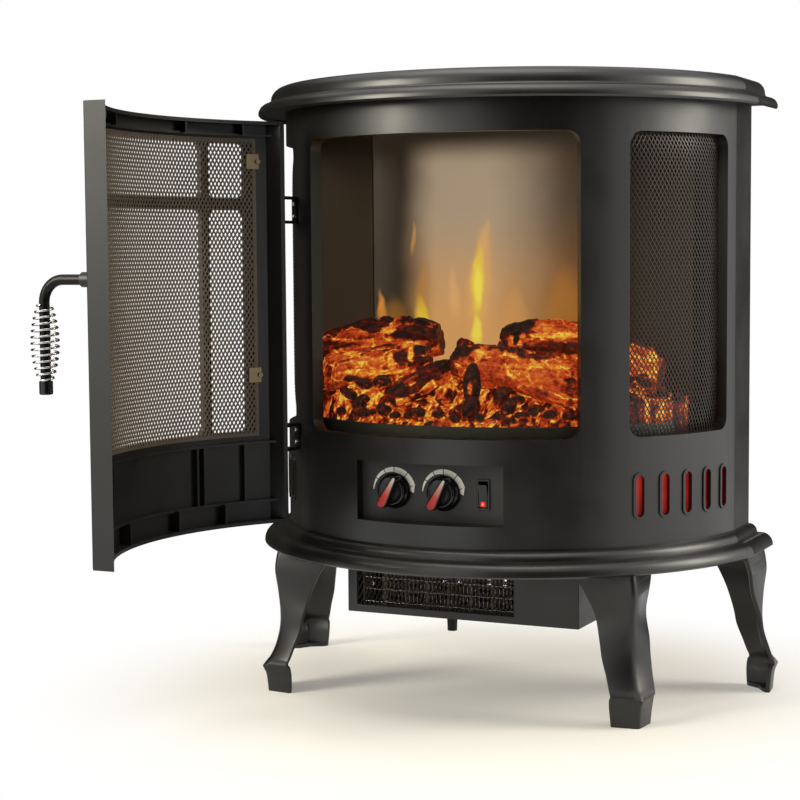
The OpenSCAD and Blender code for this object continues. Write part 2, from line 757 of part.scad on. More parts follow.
module switch_rocker() {
    w = switch_w - 4.4 - 2 * gap;
    h = switch_h - 4.4 - 3;
    color("#151515") translate([switch_x, panel_y + 5, ctl_mid]) rotate([rocker_tilt, 0, 0]) {
        difference() {
            translate([-w / 2, 0, 0]) rotate([90, 0, 90]) linear_extrude(w)
                polygon([[3, -h / 2 + 2], [-6, -h / 2], [-8.2, -h / 2 + 0.6], [-6.4, 0], [-8.2, h / 2 - 0.6],
                    [-6, h / 2], [3, h / 2 - 2]]);
            translate([0, -7.2, -h / 2 + 3.4]) rotate([90, 0, 0]) cylinder(d = 4, h = 3);
        }
        translate([-w / 2 - 1, 0, 0]) rotate([0, 90, 0]) cylinder(d = pivot_d, h = w + 2);
    }
}

// ---- firebox ---------------------------------------------------------------------------

module bed_plan(r, y1) {
    intersection() {
        translate([0, arc_y]) circle(r);
        translate([-r, -casing_d]) square([2 * r, casing_d + y1]);
    }
}

module firebox_floor() {
    color("#1b1b1a") translate([0, 0, floor_z]) difference() {
        union() {
            linear_extrude(sheet) bed_plan(floor_r, back_sheet_y - gap);
            translate([-screen_half, back_sheet_y - gap - sheet, -12]) cube([2 * screen_half, sheet, 12 + eps]);
        }
        for (s = [-1, 1]) translate([s * 70, -30, -1]) linear_extrude(4) rounded_rect(110, 80, 8);
    }
}

module firebox_back() {
    low = leg_h + base_floor;
    color("#3b352c") difference() {
        translate([-back_half, back_sheet_y, low]) cube([2 * back_half, sheet, roof_z - low]);
        translate([-screen_half, back_sheet_y - 1, bed_z0 + 6])
            cube([2 * screen_half, sheet + 2, window_top + 6 - bed_z0]);
        for (x = [-90:30:90]) translate([x, back_sheet_y - 1, casing_z + 30]) rotate([-90, 0, 0])
            linear_extrude(sheet + 2) stadium(8, 40);
    }
}

module flame_screen() {
    color("#cbb8a0") translate([-screen_half - 8, screen_y, bed_z0 - 4])
        cube([2 * screen_half + 16, screen_t, roof_z - bed_z0 + 4]);
}

module firebox_roof() {
    color("#1f1e1c") translate([0, 0, roof_z]) difference() {
        linear_extrude(sheet) casing_plan(-casing_wall - gap);
        for (x = [-120:30:120]) translate([x, 100, -1]) linear_extrude(4) stadium(8, 44);
    }
}

// Bright plate behind the screen with flame-shaped windows
module flame_reflector() {
    color("#b9b4a8") difference() {
        translate([-reflector_half, reflector_y, bed_z0 + 4])
            cube([2 * reflector_half, sheet, roof_z - bed_z0 - 4]);
        for (i = [-3:3]) translate([i * 34, reflector_y - 1, bed_z0 + 52 + 8 * cos(i * 90)])
            rotate([90, 0, 0]) mirror([0, 0, 1]) linear_extrude(sheet + 3) flame_shape(22, 64 + 18 * cos(i * 70));
    }
}

module flame_shape(w, h) {
    polygon([for (t = [0:20:340]) let (s = sin(t), c = -cos(t))
        [w / 2 * s * (c > 0 ? pow(1 - c, 0.7) : 1) + 0.12 * h * c * abs(c), c > 0 ? h * 0.72 * c : h * 0.28 * c]]);
}

// Logs: [start, end, radius, rise of the middle, seed]; points are across, behind the casing's front
// and above the bed's underside, and those near the sides keep their distance from the casing
function in_bed(p) = [p[0], front_y + p[1], bed_z0 + p[2]];
log_left_back = [in_bed([78 - casing_r, 99, 76]), in_bed([-36, 123, 98]), 20.5, 2, 1];
log_left_front = [in_bed([90 - casing_r, 61, 55]), in_bed([-50, 81, 73]), 18.5, 2, 2];
log_centre = [in_bed([-50, 40, 37]), in_bed([-16, 93, 74]), 14, 2, 3];
log_right_upper = [in_bed([32, 129, 88]), in_bed([casing_r - 54, 145, 58]), 21.5, 12, 4];
log_right_lower = [in_bed([2, 81, 76]), in_bed([casing_r - 100, 67, 50]), 23, 4, 5];
log_stub = [in_bed([-10, 123, 67]), in_bed([8, 139, 95]), 9, 0, 6];
all_logs = [log_left_back, log_left_front, log_centre, log_right_upper, log_right_lower, log_stub];

// Coals: [across, behind the casing's front, radius]
coal_places = [[-92, 47, 9], [-60, 36, 9], [-20, 33, 9], [34, 37, 10], [72, 44, 9], [97, 45, 7],
    [58 - casing_r, 145, 12], [casing_r - 82, 105, 10], [casing_r - 42, 167, 8]];
coal_spots = [for (c = coal_places) [c[0], front_y + c[1], c[2]]];

function unit(v) = v / norm(v);

function log_axis(g, t) = lerp(g[0], g[1], t) + [0, 0, g[3] * sin(180 * t)];

// Cracked bark cuts into the log's sides and top and leaves its underside whole
function bark(a, t, seed) = (1 + sin(a)) / 2 * (0.5 + 0.3 * sin(a * 5 + seed * 71 + 200 * t)
    + 0.2 * sin(a * 9 - seed * 133 + 560 * t));

function log_rings(g, sides = 16, count = 14) =
    let (d = unit(g[1] - g[0]), s = unit(cross([0, 0, 1], d)), u = cross(d, s))
    [for (k = [0:count]) let (t = k / count, c = log_axis(g, t),
        e = min(1, 0.74 + 1.6 * min(t, 1 - t)))
        [for (j = [0:sides - 1]) let (a = 360 * j / sides,
            r = g[2] * e * (1 - 0.2 * bark(a, t, g[4])))
            c + (s * cos(a) + u * sin(a)) * r]];

module log(g) {
    color("#7c2a14") intersection() {
        loft(log_rings(g));
        translate([0, arc_y, 0]) cylinder(r = lip_r - pane_t - 2, h = far);
    }
}

// Height of the bed before the logs press into it, lowest along the front
function relief(x, y) = bed_z1 + 34 * pow(min(1, max(0, (y - front_y - 21 + abs(x) * 0.02) / 95)), 0.8)
    - 16 * pow(abs(x) / bed_r, 3) + 2.6 * sin(x * 7) * sin(y * 9) + 1.8 * sin(x * 13 + y * 5);

// Where a log's axis passes the point: [distance across, place along, height of its seat]
function log_seat(g, x, y) =
    let (a = [g[0][0], g[0][1]], b = [g[1][0], g[1][1]], d = b - a, q = [x, y] - a, t = (q * d) / (d * d))
    [norm(q - d * t), t, log_axis(g, min(1, max(0, t)))[2] - g[2] * norm(g[1] - g[0]) / norm(d) - gap * 2.4];

function coal_z(c) = relief(c[0], c[1]) + c[2] * 0.7;

// [distance from the coal's middle, how far its pad reaches, height of its seat]
function coal_seat(c, x, y) = [norm([x, y] - [c[0], c[1]]), c[2] + 10, coal_z(c) - c[2] * coal_low - gap];

// The bed rises under each log and coal to carry it, and stays clear of it beside that
function bed_height(x, y) = let (
    logs = [for (g = all_logs) let (q = log_seat(g, x, y)) if (q[1] > -0.1 && q[1] < 1.1) concat(q, [g[2]])],
    lumps = [for (c = coal_spots) let (q = coal_seat(c, x, y)) if (q[0] < q[1]) q[2]],
    high = max(concat([relief(x, y)], lumps,
        [for (q = logs) if (q[0] < max(8, q[3] * 0.5) && q[1] > 0.05 && q[1] < 0.95) q[2]])))
    max(bed_z0 + 6, min(concat([high], lumps, [for (q = logs) if (q[0] < q[3] + 3) q[2]])));

bed_back = back_sheet_y - gap;
coal_low = 0.94;
bed_cols = 38;
bed_rows = 14;
bed_x = sqrt(bed_r * bed_r - pow(arc_y - bed_back, 2)) - 6;

function bed_front(x) = arc_y - sqrt(bed_r * bed_r - x * x);

// Point i across and j from front to back on the bed's top
function bed_top(i, j) = let (x = bed_x * sin(-90 + 180 * i / bed_cols) * 0.35 + bed_x * 0.65 * (2 * i / bed_cols - 1),
    y = lerp(bed_front(x), bed_back, pow(j / bed_rows, 1.1)))
    [x, y, j == 0 ? bed_z1 - 3 : bed_height(x, y)];

module ember_bed() {
    n = bed_cols + 1;
    m = bed_rows + 1;
    top = [for (j = [0:m - 1], i = [0:n - 1]) bed_top(i, j)];
    rim = concat([for (i = [0:n - 1]) i], [for (j = [1:m - 1]) j * n + n - 1],
        [for (i = [n - 2:-1:0]) (m - 1) * n + i], [for (j = [m - 2:-1:1]) j * n]);
    k = len(rim);
    low = n * m;
    color("#6d2412") polyhedron(
        points = concat(top, [for (r = rim) [top[r][0], top[r][1], bed_z0]], [[0, 0, bed_z0]]),
        faces = concat(
            [for (j = [0:m - 2], i = [0:n - 2], h = [0, 1]) let (a = j * n + i, b = a + n)
                h == 0 ? [a, b, b + 1] : [a, b + 1, a + 1]],
            [for (q = [0:k - 1], h = [0, 1]) let (w = (q + 1) % k)
                h == 0 ? [rim[q], rim[w], low + w] : [rim[q], low + w, low + q]],
            [for (q = [0:k - 1]) [low + k, low + q, low + (q + 1) % k]]),
        convexity = 8);
}

module log_left_back() { log(log_left_back); }

module log_left_front() { log(log_left_front); }

module log_centre() { log(log_centre); }

module log_right_upper() { log(log_right_upper); }

module log_right_lower() { log(log_right_lower); }

module log_stub() { color("#2b211d") loft(log_rings(log_stub, 12, 6)); }

module coals() {
    color("#3a2018") for (i = [0:len(coal_spots) - 1]) let (c = coal_spots[i])
        translate([c[0], c[1], coal_z(c)]) loft([for (k = [-2:2]) let (b = k * 38)
            [for (j = [0:7]) let (a = 45 * j, r = c[2] * cos(b) * (1 - 0.14 * (1 + sin(a * 3 + i * 70)) / 2))
                [r * cos(a), r * sin(a), c[2] * coal_low * sin(b) / sin(76)]]]);
}

// ---- flicker drive and lamps -----------------------------------------------------------

bracket_t = 2;
bracket_y = reflector_y + sheet + 6.5;
bracket_d = flicker_space * 0.65;

module flicker_bracket() {
    low = leg_h + base_floor;
    color("#8c8a84") for (s = [-1, 1]) difference() {
        union() {
            translate([s * (rotor_half - 6) - bracket_t / 2, bracket_y, low])
                cube([bracket_t, bracket_d, rotor_z + 12 - low]);
            translate([s * (rotor_half - 6) - 9, bracket_y, low]) cube([18, bracket_d, 2]);
        }
        translate([s * (rotor_half - 6) - 5, rotor_y, rotor_z]) rotate([0, 90, 0])
            cylinder(d = rotor_shaft + 2 * run, h = 10);
    }
}

module flicker_rotor() {
    color("#c9c6bd") {
        translate([-rotor_half - 4, rotor_y, rotor_z]) rotate([0, 90, 0])
            cylinder(d = rotor_shaft, h = 2 * rotor_half + 4);
        for (i = [0:flicker_vanes - 1]) let (x = lerp(-rotor_half + 18, rotor_half - 18, i / (flicker_vanes - 1)))
            translate([x, rotor_y, rotor_z]) rotate([0, 90, 0]) linear_extrude(0.8, center = true)
                for (k = [0:3]) rotate(i * 37 + k * 90) vane();
    }
}

module vane() {
    circle(d = 9);
    intersection() {
        circle(d = flicker_d);
        polygon([[0, -3], [flicker_d / 2, -flicker_d * 0.16], [flicker_d / 2, flicker_d * 0.2], [0, 3]]);
    }
}

module flicker_motor() {
    color("#77756f") translate([rotor_half - 6 + bracket_t / 2, rotor_y, rotor_z]) rotate([0, 90, 0]) {
        difference() {
            union() {
                cylinder(d = 48, h = 16);
                translate([-31, -6, 0]) cube([62, 12, 1.4]);
                translate([0, 0, 15]) cylinder(d = 20, h = 5);
            }
            translate([0, 0, -1]) cylinder(d = rotor_shaft + 2 * run, h = 12);
        }
    }
}

lamp_x = 66;
lamp_y = front_y + 131;
bar_z = casing_z + 26;
bar_half = 118;

module lamp_bar() {
    color("#8c8a84") difference() {
        union() {
            translate([-bar_half, lamp_y - 16, bar_z]) cube([2 * bar_half, 32, sheet]);
            for (s = [-1, 1]) translate([s * bar_half - sheet / 2, lamp_y - 16, leg_h + base_floor])
                cube([sheet, 32, bar_z + sheet - leg_h - base_floor]);
        }
        for (s = [-1, 1]) translate([s * lamp_x, lamp_y, bar_z - 1]) cylinder(d = 14 + 2 * gap, h = 4);
    }
}

// Candle lamp with its cap down in the bar
module lamps() {
    color("#e8e2d2") for (s = [-1, 1]) translate([s * lamp_x, lamp_y, bar_z - 14]) rotate_extrude()
        polygon(concat([[0, 0], [5, 0], [7, 3], [7, 14 + sheet + gap],
            [12, 14 + sheet + gap], [12, 20]],
            arc_pts(lamp_d / 2 - 10, 40, 10, 0, 60, 5), [[4, 62], [0, 66]]));
}

// ---- heater ----------------------------------------------------------------------------

module heater_housing() {
    t = sheet;
    color("#1e1e1d") difference() {
        union() {
            translate([-heater_half, -heater_front, heater_z0]) cube([2 * heater_half, heater_d, heater_h]);
        }
        translate([-heater_half + t, -heater_front + t, heater_z0 + t])
            cube([2 * (heater_half - t), heater_d - 2 * t, heater_h - 2 * t]);
        translate([grille_x0, -heater_front - 1, grille_z0]) cube([grille_x1 - grille_x0, t + 2, grille_z1 - grille_z0]);
        translate([0, -20 + heater_back / 2, leg_h - t - 1])
            linear_extrude(t + 2) rounded_rect(2 * heater_half - 60, heater_d - 60, 6);
        for (x = [-90:18:90]) translate([x, heater_back - 12, heater_z0 + 24]) rotate([-90, 0, 0])
            linear_extrude(20) stadium(5, 30);
        translate([gland_x, gland_y, heater_z0 - 1]) cylinder(d = 8, h = t + 2);
    }
}

module heater_grille() {
    w = grille_x1 - grille_x0 + 10;
    h = grille_z1 - grille_z0 + 10;
    cols = 22;
    rows = 6;
    pw = (w - 12) / cols;
    ph = (h - 12) / rows;
    color("#8a8781") translate([grille_x0 - 5 + w / 2, -heater_front + sheet + 1.2, grille_z0 - 5 + h / 2])
        rotate([90, 0, 0]) linear_extrude(1.2) difference() {
            square([w, h], center = true);
            for (j = [0:2 * rows - 2]) for (i = [0:cols - 1 - j % 2])
                translate([-w / 2 + 6 + (i + 0.5 + (j % 2) / 2) * pw, -h / 2 + 6 + (j + 1) * ph / 2])
                    diamond(pw - 1.4, ph - 1.2);
        }
}

element_y = -heater_front + sheet + 8;
element_d = 20;
element_z0 = heater_z0 + sheet + 3;
element_z1 = leg_h - sheet - 3;
coil_d = 4;
coil_rows = 5;

module element_frame() {
    x0 = grille_x0 + 2;
    x1 = grille_x1 - 2;
    color("#b9b2a2") difference() {
        union() {
            for (z = [element_z0, element_z1 - 2]) translate([x0, element_y, z]) cube([x1 - x0, element_d, 2]);
            for (i = [0:7]) translate([lerp(x0, x1 - 2, i / 7), element_y, element_z0])
                cube([2, element_d, element_z1 - element_z0]);
            for (x = [x0 + 6, x1 - 16]) translate([x, element_y + element_d - 2, heater_z0 + sheet]) cube([10, 2, 4]);
        }
        for (k = [0:coil_rows - 1]) translate([x0 - 1, element_y + element_d / 2, coil_z(k)]) rotate([0, 90, 0])
            cylinder(d = coil_d + 2 * gap, h = x1 - x0 + 2);
    }
}

function coil_z(k) = lerp(element_z0 + 7, element_z1 - 7, k / (coil_rows - 1));

module heating_element() {
    x0 = grille_x0 - 3;
    x1 = grille_x1 + 3;
    color("#8b6f55") for (k = [0:coil_rows - 1]) {
        translate([x0, element_y + element_d / 2, coil_z(k)]) rotate([0, 90, 0]) cylinder(d = coil_d, h = x1 - x0);
        if (k < coil_rows - 1) translate([k % 2 == 0 ? x1 - coil_d / 2 : x0 + coil_d / 2, element_y + element_d / 2, coil_z(k)])
            cylinder(d = coil_d * 0.9, h = coil_z(k + 1) - coil_z(k));
    }
}

module blower_wheel() {
    len = blower_x1 - blower_x0;
    color("#6f6e6a") translate([blower_x0, blower_y, heater_mid_z]) rotate([0, 90, 0]) {
        linear_extrude(len) for (i = [0:blower_blades - 1]) rotate(i * 360 / blower_blades) blade();
        for (z = [0, len / 2 - 0.5, len - 1]) translate([0, 0, z]) linear_extrude(1) difference() {
            circle(d = blower_d);
            if (z > 0 && z < len - 2) circle(d = blower_d - 14);
        }
        translate([0, 0, -6]) cylinder(d = fan_shaft, h = 7);
        translate([0, 0, len - 1]) cylinder(d = fan_shaft, h = 13);
    }
}

// One forward-curved blade between the inner and outer rim
module blade() {
    intersection() {
        difference() {
            translate([blower_d / 2 - 3, 4]) circle(6.5, $fn = 40);
            translate([blower_d / 2 - 3, 4]) circle(5.7, $fn = 40);
        }
        difference() {
            circle(d = blower_d - 0.4);
            circle(d = blower_d - 11);
        }
        translate([0, -8]) square([blower_d, 10]);
    }
}

module blower_motor() {
    x = blower_x1 + 4;
    color("#56544f") difference() {
        union() {
            translate([x, blower_y, heater_mid_z]) rotate([0, 90, 0]) cylinder(d = 40, h = 34);
            translate([x, blower_y - 17, heater_z0 + sheet]) cube([26, 34, heater_mid_z - heater_z0 - sheet]);
            translate([blower_x0 - 8, blower_y - 5, heater_z0 + sheet])
                cube([5, 10, heater_mid_z + 6 - heater_z0 - sheet]);
        }
        translate([blower_x0 - 9, blower_y, heater_mid_z]) rotate([0, 90, 0]) cylinder(d = fan_shaft + 2 * run, h = 40);
        translate([x - 1, blower_y, heater_mid_z]) rotate([0, 90, 0]) cylinder(d = fan_shaft + 2 * run, h = 14);
    }
}

module thermal_cutout() {
    color("#a39a86") translate([grille_x1 + 24, element_y + 4, heater_z0 + sheet]) {
        cylinder(d = 16, h = 9);
        translate([-12, -3, 0]) cube([24, 6, 1]);
        for (s = [-1, 1]) translate([s * 4 - 1.5, -0.4, 9]) cube([3, 0.8, 7]);
    }
}

// ---- legs ------------------------------------------------------------------------------

// Rows of the leg: [height, outward swing of the ridge, width of a face, splay of the faces]
leg_rows = [[0, 13.5, 28, 3], [10, 14.5, 29.5, 3], [19, 16, 31, 3], [27, 19.5, 33, 2],
    [31, 16.5, 29, 6], [38, 10, 26.5, 9], [50, 4.2, 26, 10], [66, 0.5, 29, 9], [83, 0, 32, 7],
    [107, 3, 41, -1], [127, 6, 53, -3], [139, 5, 60, -3], [148, 3, 62, -3]];
leg_ref_h = 148;
leg_plate = 4;

// Section of the leg; shut = 1 closes the hollow with a plate
function leg_ring(row, shut) =
    let (c = -[row[1], row[1]] / sqrt(2), a = c + [row[2], -row[3]], b = c + [-row[3], row[2]],
        da = unit(a - c), db = unit(b - c), na = [-da[1], da[0]], nb = [db[1], -db[0]],
        t = leg_wall, r = leg_round, q = (na + nb) * t / (1 + na * nb),
        z = row[0] * leg_h / leg_ref_h,
        hollow = [a + na * t, c + q, b + nb * t],
        shutoff = [lerp(a, b, 0.12), lerp(a, b, 0.5), lerp(a, b, 0.88)])
    [for (p = concat([a], shut == 1 ? shutoff : hollow,
        [b, c + db * r, c + (da + db) * r * 0.27, c + da * r])) [p[0], p[1], z]];

module leg() {
    rows = smooth_rows(leg_rows, 2);
    top = leg_ref_h - leg_plate;
    inner = [for (r = rows) if (r[0] > leg_plate + 3 && r[0] < top - 3) r];
    foot = leg_rows[0];
    head = leg_rows[len(leg_rows) - 1];
    color("#2b2c29") difference() {
        loft(concat(
            [leg_ring(foot, 1), leg_ring([leg_plate, foot[1] + 0.3, foot[2] + 0.3, foot[3]], 1),
                leg_ring([leg_plate + 2, foot[1] + 0.5, foot[2] + 0.5, foot[3]], 0)],
            [for (r = inner) leg_ring(r, 0)],
            [leg_ring([top - 2, head[1], head[2], head[3]], 0),
                leg_ring([top, head[1], head[2], head[3]], 1), leg_ring(head, 1)]));
        translate([bolt_in, bolt_in, leg_h - leg_plate - 6]) cylinder(d = bolt_d + 2 * gap, h = leg_plate + 7);
    }
}

bolt_d = 6;
bolt_in = 14;

module leg_bolts() {
    color("#6f6f6b") for (p = leg_bolt_spots) translate([p[0], p[1], leg_h + base_floor])
        pan_screw(12, 4, bolt_d, base_floor + leg_plate + 8);
}

leg_front_x = (casing_r + leg_front_out) * sin(leg_front_phi);
leg_front_y = arc_y - (casing_r + leg_front_out) * cos(leg_front_phi);
leg_back_x = casing_half + leg_back_out;
leg_back_y = back_y - leg_back_in;
leg_spots = [[-leg_front_x, leg_front_y, 0], [leg_front_x, leg_front_y, 1],
    [-leg_back_x, leg_back_y, 2], [leg_back_x, leg_back_y, 3]];
leg_bolt_spots = [for (p = leg_spots) [p[0] - sign(p[0]) * bolt_in, p[1] - sign(p[1]) * bolt_in]];

module leg_at(i) {
    p = leg_spots[i];
    translate([p[0], p[1], 0]) mirror([p[0] > 0 ? 1 : 0, 0, 0]) mirror([0, p[1] > 0 ? 1 : 0, 0]) leg();
}

module leg_front_left() { leg_at(0); }

module leg_front_right() { leg_at(1); }

module leg_back_left() { leg_at(2); }

module leg_back_right() { leg_at(3); }

// ---- door ------------------------------------------------------------------------------

module door_slab(half) {
    translate([-half, -far, 0]) cube([2 * half, far + arc_y, far]);
}

module door_frame() {
    color("#2c2d29") door_turn() difference() {
        union() {
            difference() {
                intersection() {
                    arc_wall(door_r0, door_r1, -door_phi, door_phi, door_z0, door_z1);
                    door_slab(door_half);
                }
                intersection() {
                    arc_wall(door_r0 - 5, door_inner_r, -door_phi, door_phi, door_z0 + door_rim, door_z1 - door_rim);
                    door_slab(door_half - door_rim);
                }
            }
            door_ribs();
            translate([rod_x, nut_y, rod_zc]) rotate([90, 0, 0]) cylinder(d = boss_d, h = nut_y - boss_y);
        }
        for (row = pane_rows, col = pane_cols)
            radial((col[0] + col[1]) / 2, (row[0] + row[1]) / 2, door_inner_r - 20, door_r1 + 3)
                rounded_rect(2 * door_r1 * sin((col[1] - col[0]) / 2), row[1] - row[0], 7);
        translate([rod_x, arc_y, rod_zc]) rotate([90, 0, 0]) cylinder(d = rod_d * 0.7 + 2 * gap, h = far);
        for (z = magnet_zs) translate([magnet_x, arc_y, z]) rotate([90, 0, 0])
            cylinder(d = magnet_d, h = arc_y - magnet_y);
    }
}

module door_ribs() {
    cell_z = [door_z0 + 23, door_z0 + 83];
    for (z = concat(cell_z, [door_z1 - door_band + 8]))
        intersection() {
            arc_wall(door_r0 + 7, door_inner_r + 1, -door_phi, door_phi, z - 1.2, z + 1.2);
            door_slab(door_half - 1);
        }
    for (phi = [-30, -19, -17, 17, 19, 30]) arc_wall(door_r0 + 7, door_inner_r + 1, phi - 0.25, phi + 0.25,
        cell_z[0], cell_z[1]);
    for (phi = [-30, -14, 14, 30])
        arc_wall(door_r0 + 2, door_inner_r + 1, phi - 0.25, phi + 0.25, door_z1 - door_band + 8, door_z1 - 1);
    for (phi = [-24, -10, 10, 24])
        arc_wall(door_r0 + 2, door_inner_r + 1, phi - 0.25, phi + 0.25, door_z0 + 1, cell_z[0]);
    for (z = magnet_zs) translate([magnet_x, arc_y - door_inner_r * cos(magnet_phi) + 0.5, z])
        rotate([90, 0, 180]) magnet_post();
}

magnet_d = 8;
magnet_x = door_half - 9.5;
magnet_phi = asin(magnet_x / door_inner_r);
magnet_y = arc_y - door_r0 * cos(magnet_phi) - 3;
magnet_t = 4;
magnet_zs = [door_z0 + 11, door_z1 - 11];

module magnet_post() {
    mirror([0, 0, 1]) translate([0, 0, -14]) cylinder(d = magnet_d + 5, h = 14.4);
}

module door_magnets() {
    color("#9a9a96") door_turn() for (z = magnet_zs)
        translate([magnet_x, magnet_y + magnet_t, z]) rotate([90, 0, 0]) cylinder(d = magnet_d - 2 * gap, h = magnet_t);
}

module door_mesh() {
    color("#4a4640") door_turn() mesh_sheet(door_mesh_r, -door_pane_phi - 3, door_pane_phi + 1,
        pane_rows[0][0] - 5, pane_rows[1][1] + 5, 8);
}

clip_zs = [door_z0 + 152, door_z1 - 40];

module door_clips() {
    color("#a8a6a0") door_turn() for (z = clip_zs, s = [-1, 1])
        on_arc(s * (door_pane_phi + 2), door_mesh_r - mesh_t - gap, z) {
            translate([-7, 0, -7.5]) cube([14, 1.2, 15]);
            translate([s * 4 - 1.6, 1.2, 0]) rotate([-90, 0, 0]) cylinder(d = 5, h = 1.6);
        }
}

// ---- hinges ----------------------------------------------------------------------------

hinge_phi = -45.2;
hinge_screw_dz = [hinge_ear + 4, hinge_h - hinge_ear - 4];

module hinge_brackets() {
    color("#171716") for (z = hinge_zs) difference() {
        union() {
            on_arc(hinge_phi, casing_r + hinge_ear, z) translate([-7, 0, 0.5])
                cube([14, hinge_ear - 0.1, hinge_h - 1]);
            for (dz = [0, hinge_h - hinge_ear]) translate([0, 0, z + dz]) linear_extrude(hinge_ear) ear_plan();
        }
        translate([hinge_x, hinge_y, z - 1]) cylinder(d = hinge_pin_d, h = hinge_h + 2);
        for (dz = hinge_screw_dz) on_arc(hinge_phi, casing_r - 2, z + dz) rotate([90, 0, 0])
            cylinder(d = 3 + 2 * gap, h = 12);
    }
}

// Point in the middle of the hinge's plate, x along the casing
function hinge_foot(x) = let (r = casing_r + hinge_ear / 2)
    [x * cos(hinge_phi) + r * sin(hinge_phi), arc_y + x * sin(hinge_phi) - r * cos(hinge_phi)];

module ear_plan() {
    translate([hinge_x, hinge_y]) circle(d = hinge_barrel_d);
    polygon([[hinge_x - hinge_barrel_d / 2, hinge_y], [hinge_x + hinge_barrel_d / 2, hinge_y],
        hinge_foot(6.5), hinge_foot(-6.5)]);
}

module hinge_leaves() {
    color("#1a1a19") door_turn() for (z = hinge_zs) difference() {
        union() {
            translate([hinge_x, hinge_y, z + hinge_ear + gap])
                cylinder(d = hinge_barrel_d, h = hinge_h - 2 * hinge_ear - 2 * gap);
            translate([hinge_x, hinge_y - 3, z + hinge_ear + gap])
                cube([hinge_out, 6, hinge_h - 2 * hinge_ear - 2 * gap]);
            translate([-door_half - 2.5, hinge_y - 7, z + hinge_ear + gap])
                cube([2.5, 16, hinge_h - 2 * hinge_ear - 2 * gap]);
        }
        translate([hinge_x, hinge_y, z]) cylinder(d = hinge_pin_d + 2 * run, h = hinge_h);
    }
}

module hinge_pins() {
    color("#c9c9c5") for (z = hinge_zs) translate([hinge_x, hinge_y, z]) {
        translate([0, 0, -1.5]) cylinder(d = hinge_pin_d, h = hinge_h + 1.5);
        translate([0, 0, hinge_h]) cylinder(d1 = hinge_pin_d + 3, d2 = hinge_pin_d + 1, h = 2);
    }
}

// ---- handle ----------------------------------------------------------------------------

module handle_rod() {
    color("#1a1a19") door_turn() translate([rod_x, 0, rod_zc]) {
        translate([0, boss_y, 0]) rotate([90, 0, 0]) cylinder(d = rod_d, h = boss_y - grip_y - rod_bend);
        translate([0, nut_y + 6, 0]) rotate([90, 0, 0]) cylinder(d = rod_d * 0.7, h = nut_y + 7 - boss_y);
        translate([0, grip_y + rod_bend, -rod_bend]) rotate([0, 90, 0]) rotate([0, 0, 180])
            rotate_extrude(angle = 90) translate([rod_bend, 0]) circle(d = rod_d);
        translate([0, grip_y, -rod_bend - rod_down]) cylinder(d = rod_d, h = rod_down);
        translate([0, nut_y + 5, 0]) rotate([90, 0, 0]) cylinder(d = 13, h = 5, $fn = 6);
    }
}

// Barrel-shaped coil of round wire along the rod
function grip_mean(t) = lerp(grip_end_d, grip_d, pow(sin(180 * t), 0.8)) - grip_wire;

module handle_spring() {
    steps = 14;
    n = grip_turns * steps;
    w = grip_wire / 2;
    color("#cfccc2") door_turn() translate([rod_x, grip_y, grip_top - grip_h])
        loft([for (k = [0:n]) let (t = k / n, a = 360 * k / steps, r = grip_mean(t) / 2,
            z = w + (grip_h - 2 * w) * t)
            [for (j = [0:5]) let (b = -60 * j)
                [(r + w * cos(b)) * cos(a), (r + w * cos(b)) * sin(a), z + w * sin(b)]]]);
}

module handle_cap() {
    color("#121211") door_turn() translate([rod_x, grip_y, grip_top - grip_h - cap_h]) rotate_extrude()
        difference() {
            polygon(concat([[0, 0]], arc_pts(rod_d / 2 + 1.4 - 1.5, 1.5, 1.5, -90, 0, 4),
                [[rod_d / 2 + 1.4, cap_h], [0, cap_h]]));
            translate([-1, rod_zc - rod_bend - rod_down - grip_top + grip_h + cap_h]) square([rod_d / 2 + 1, cap_h]);
        }
}

top_plate();
base_plate();
front_casing();
rear_case();
service_cover();
cord_gland();
window_pane();
side_mesh_left();
side_mesh_right();
slot_films();
control_panel();
dimmer();
thermostat();
knob_flame();
knob_flame_pointer();
knob_heat();
knob_heat_pointer();
switch_bezel();
switch_rocker();
firebox_floor();
firebox_back();
firebox_roof();
flame_screen();
flame_reflector();
ember_bed();
log_left_back();
log_left_front();
log_centre();
log_right_upper();
log_right_lower();
log_stub();
coals();
flicker_bracket();
flicker_motor();
flicker_rotor();
lamp_bar();
lamps();
heater_housing();
heater_grille();
element_frame();
heating_element();
blower_wheel();
blower_motor();
thermal_cutout();
leg_front_left();
leg_front_right();
leg_back_left();
leg_back_right();
door_frame();
door_mesh();
door_clips();
door_magnets();
hinge_leaves();
hinge_brackets();
hinge_pins();
handle_rod();
handle_spring();
handle_cap();
casing_screws();
leg_bolts();
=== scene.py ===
import math

import bmesh
import bpy
import numpy as np
from mathutils import Matrix, Vector, noise
from mathutils.bvhtree import BVHTree


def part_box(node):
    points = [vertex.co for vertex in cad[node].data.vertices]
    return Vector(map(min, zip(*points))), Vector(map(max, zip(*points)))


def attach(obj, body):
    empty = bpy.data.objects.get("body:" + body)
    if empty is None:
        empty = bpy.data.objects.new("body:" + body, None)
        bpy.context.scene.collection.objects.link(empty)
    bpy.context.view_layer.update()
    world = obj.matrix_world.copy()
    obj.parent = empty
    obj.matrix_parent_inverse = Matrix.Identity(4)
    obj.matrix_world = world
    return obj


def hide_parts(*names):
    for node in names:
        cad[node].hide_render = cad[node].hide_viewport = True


# Electric stove heater: half-round casing on four legs, open mesh door, lit log bed.
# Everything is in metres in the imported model's frame; sizes in the dictionaries are in mm.

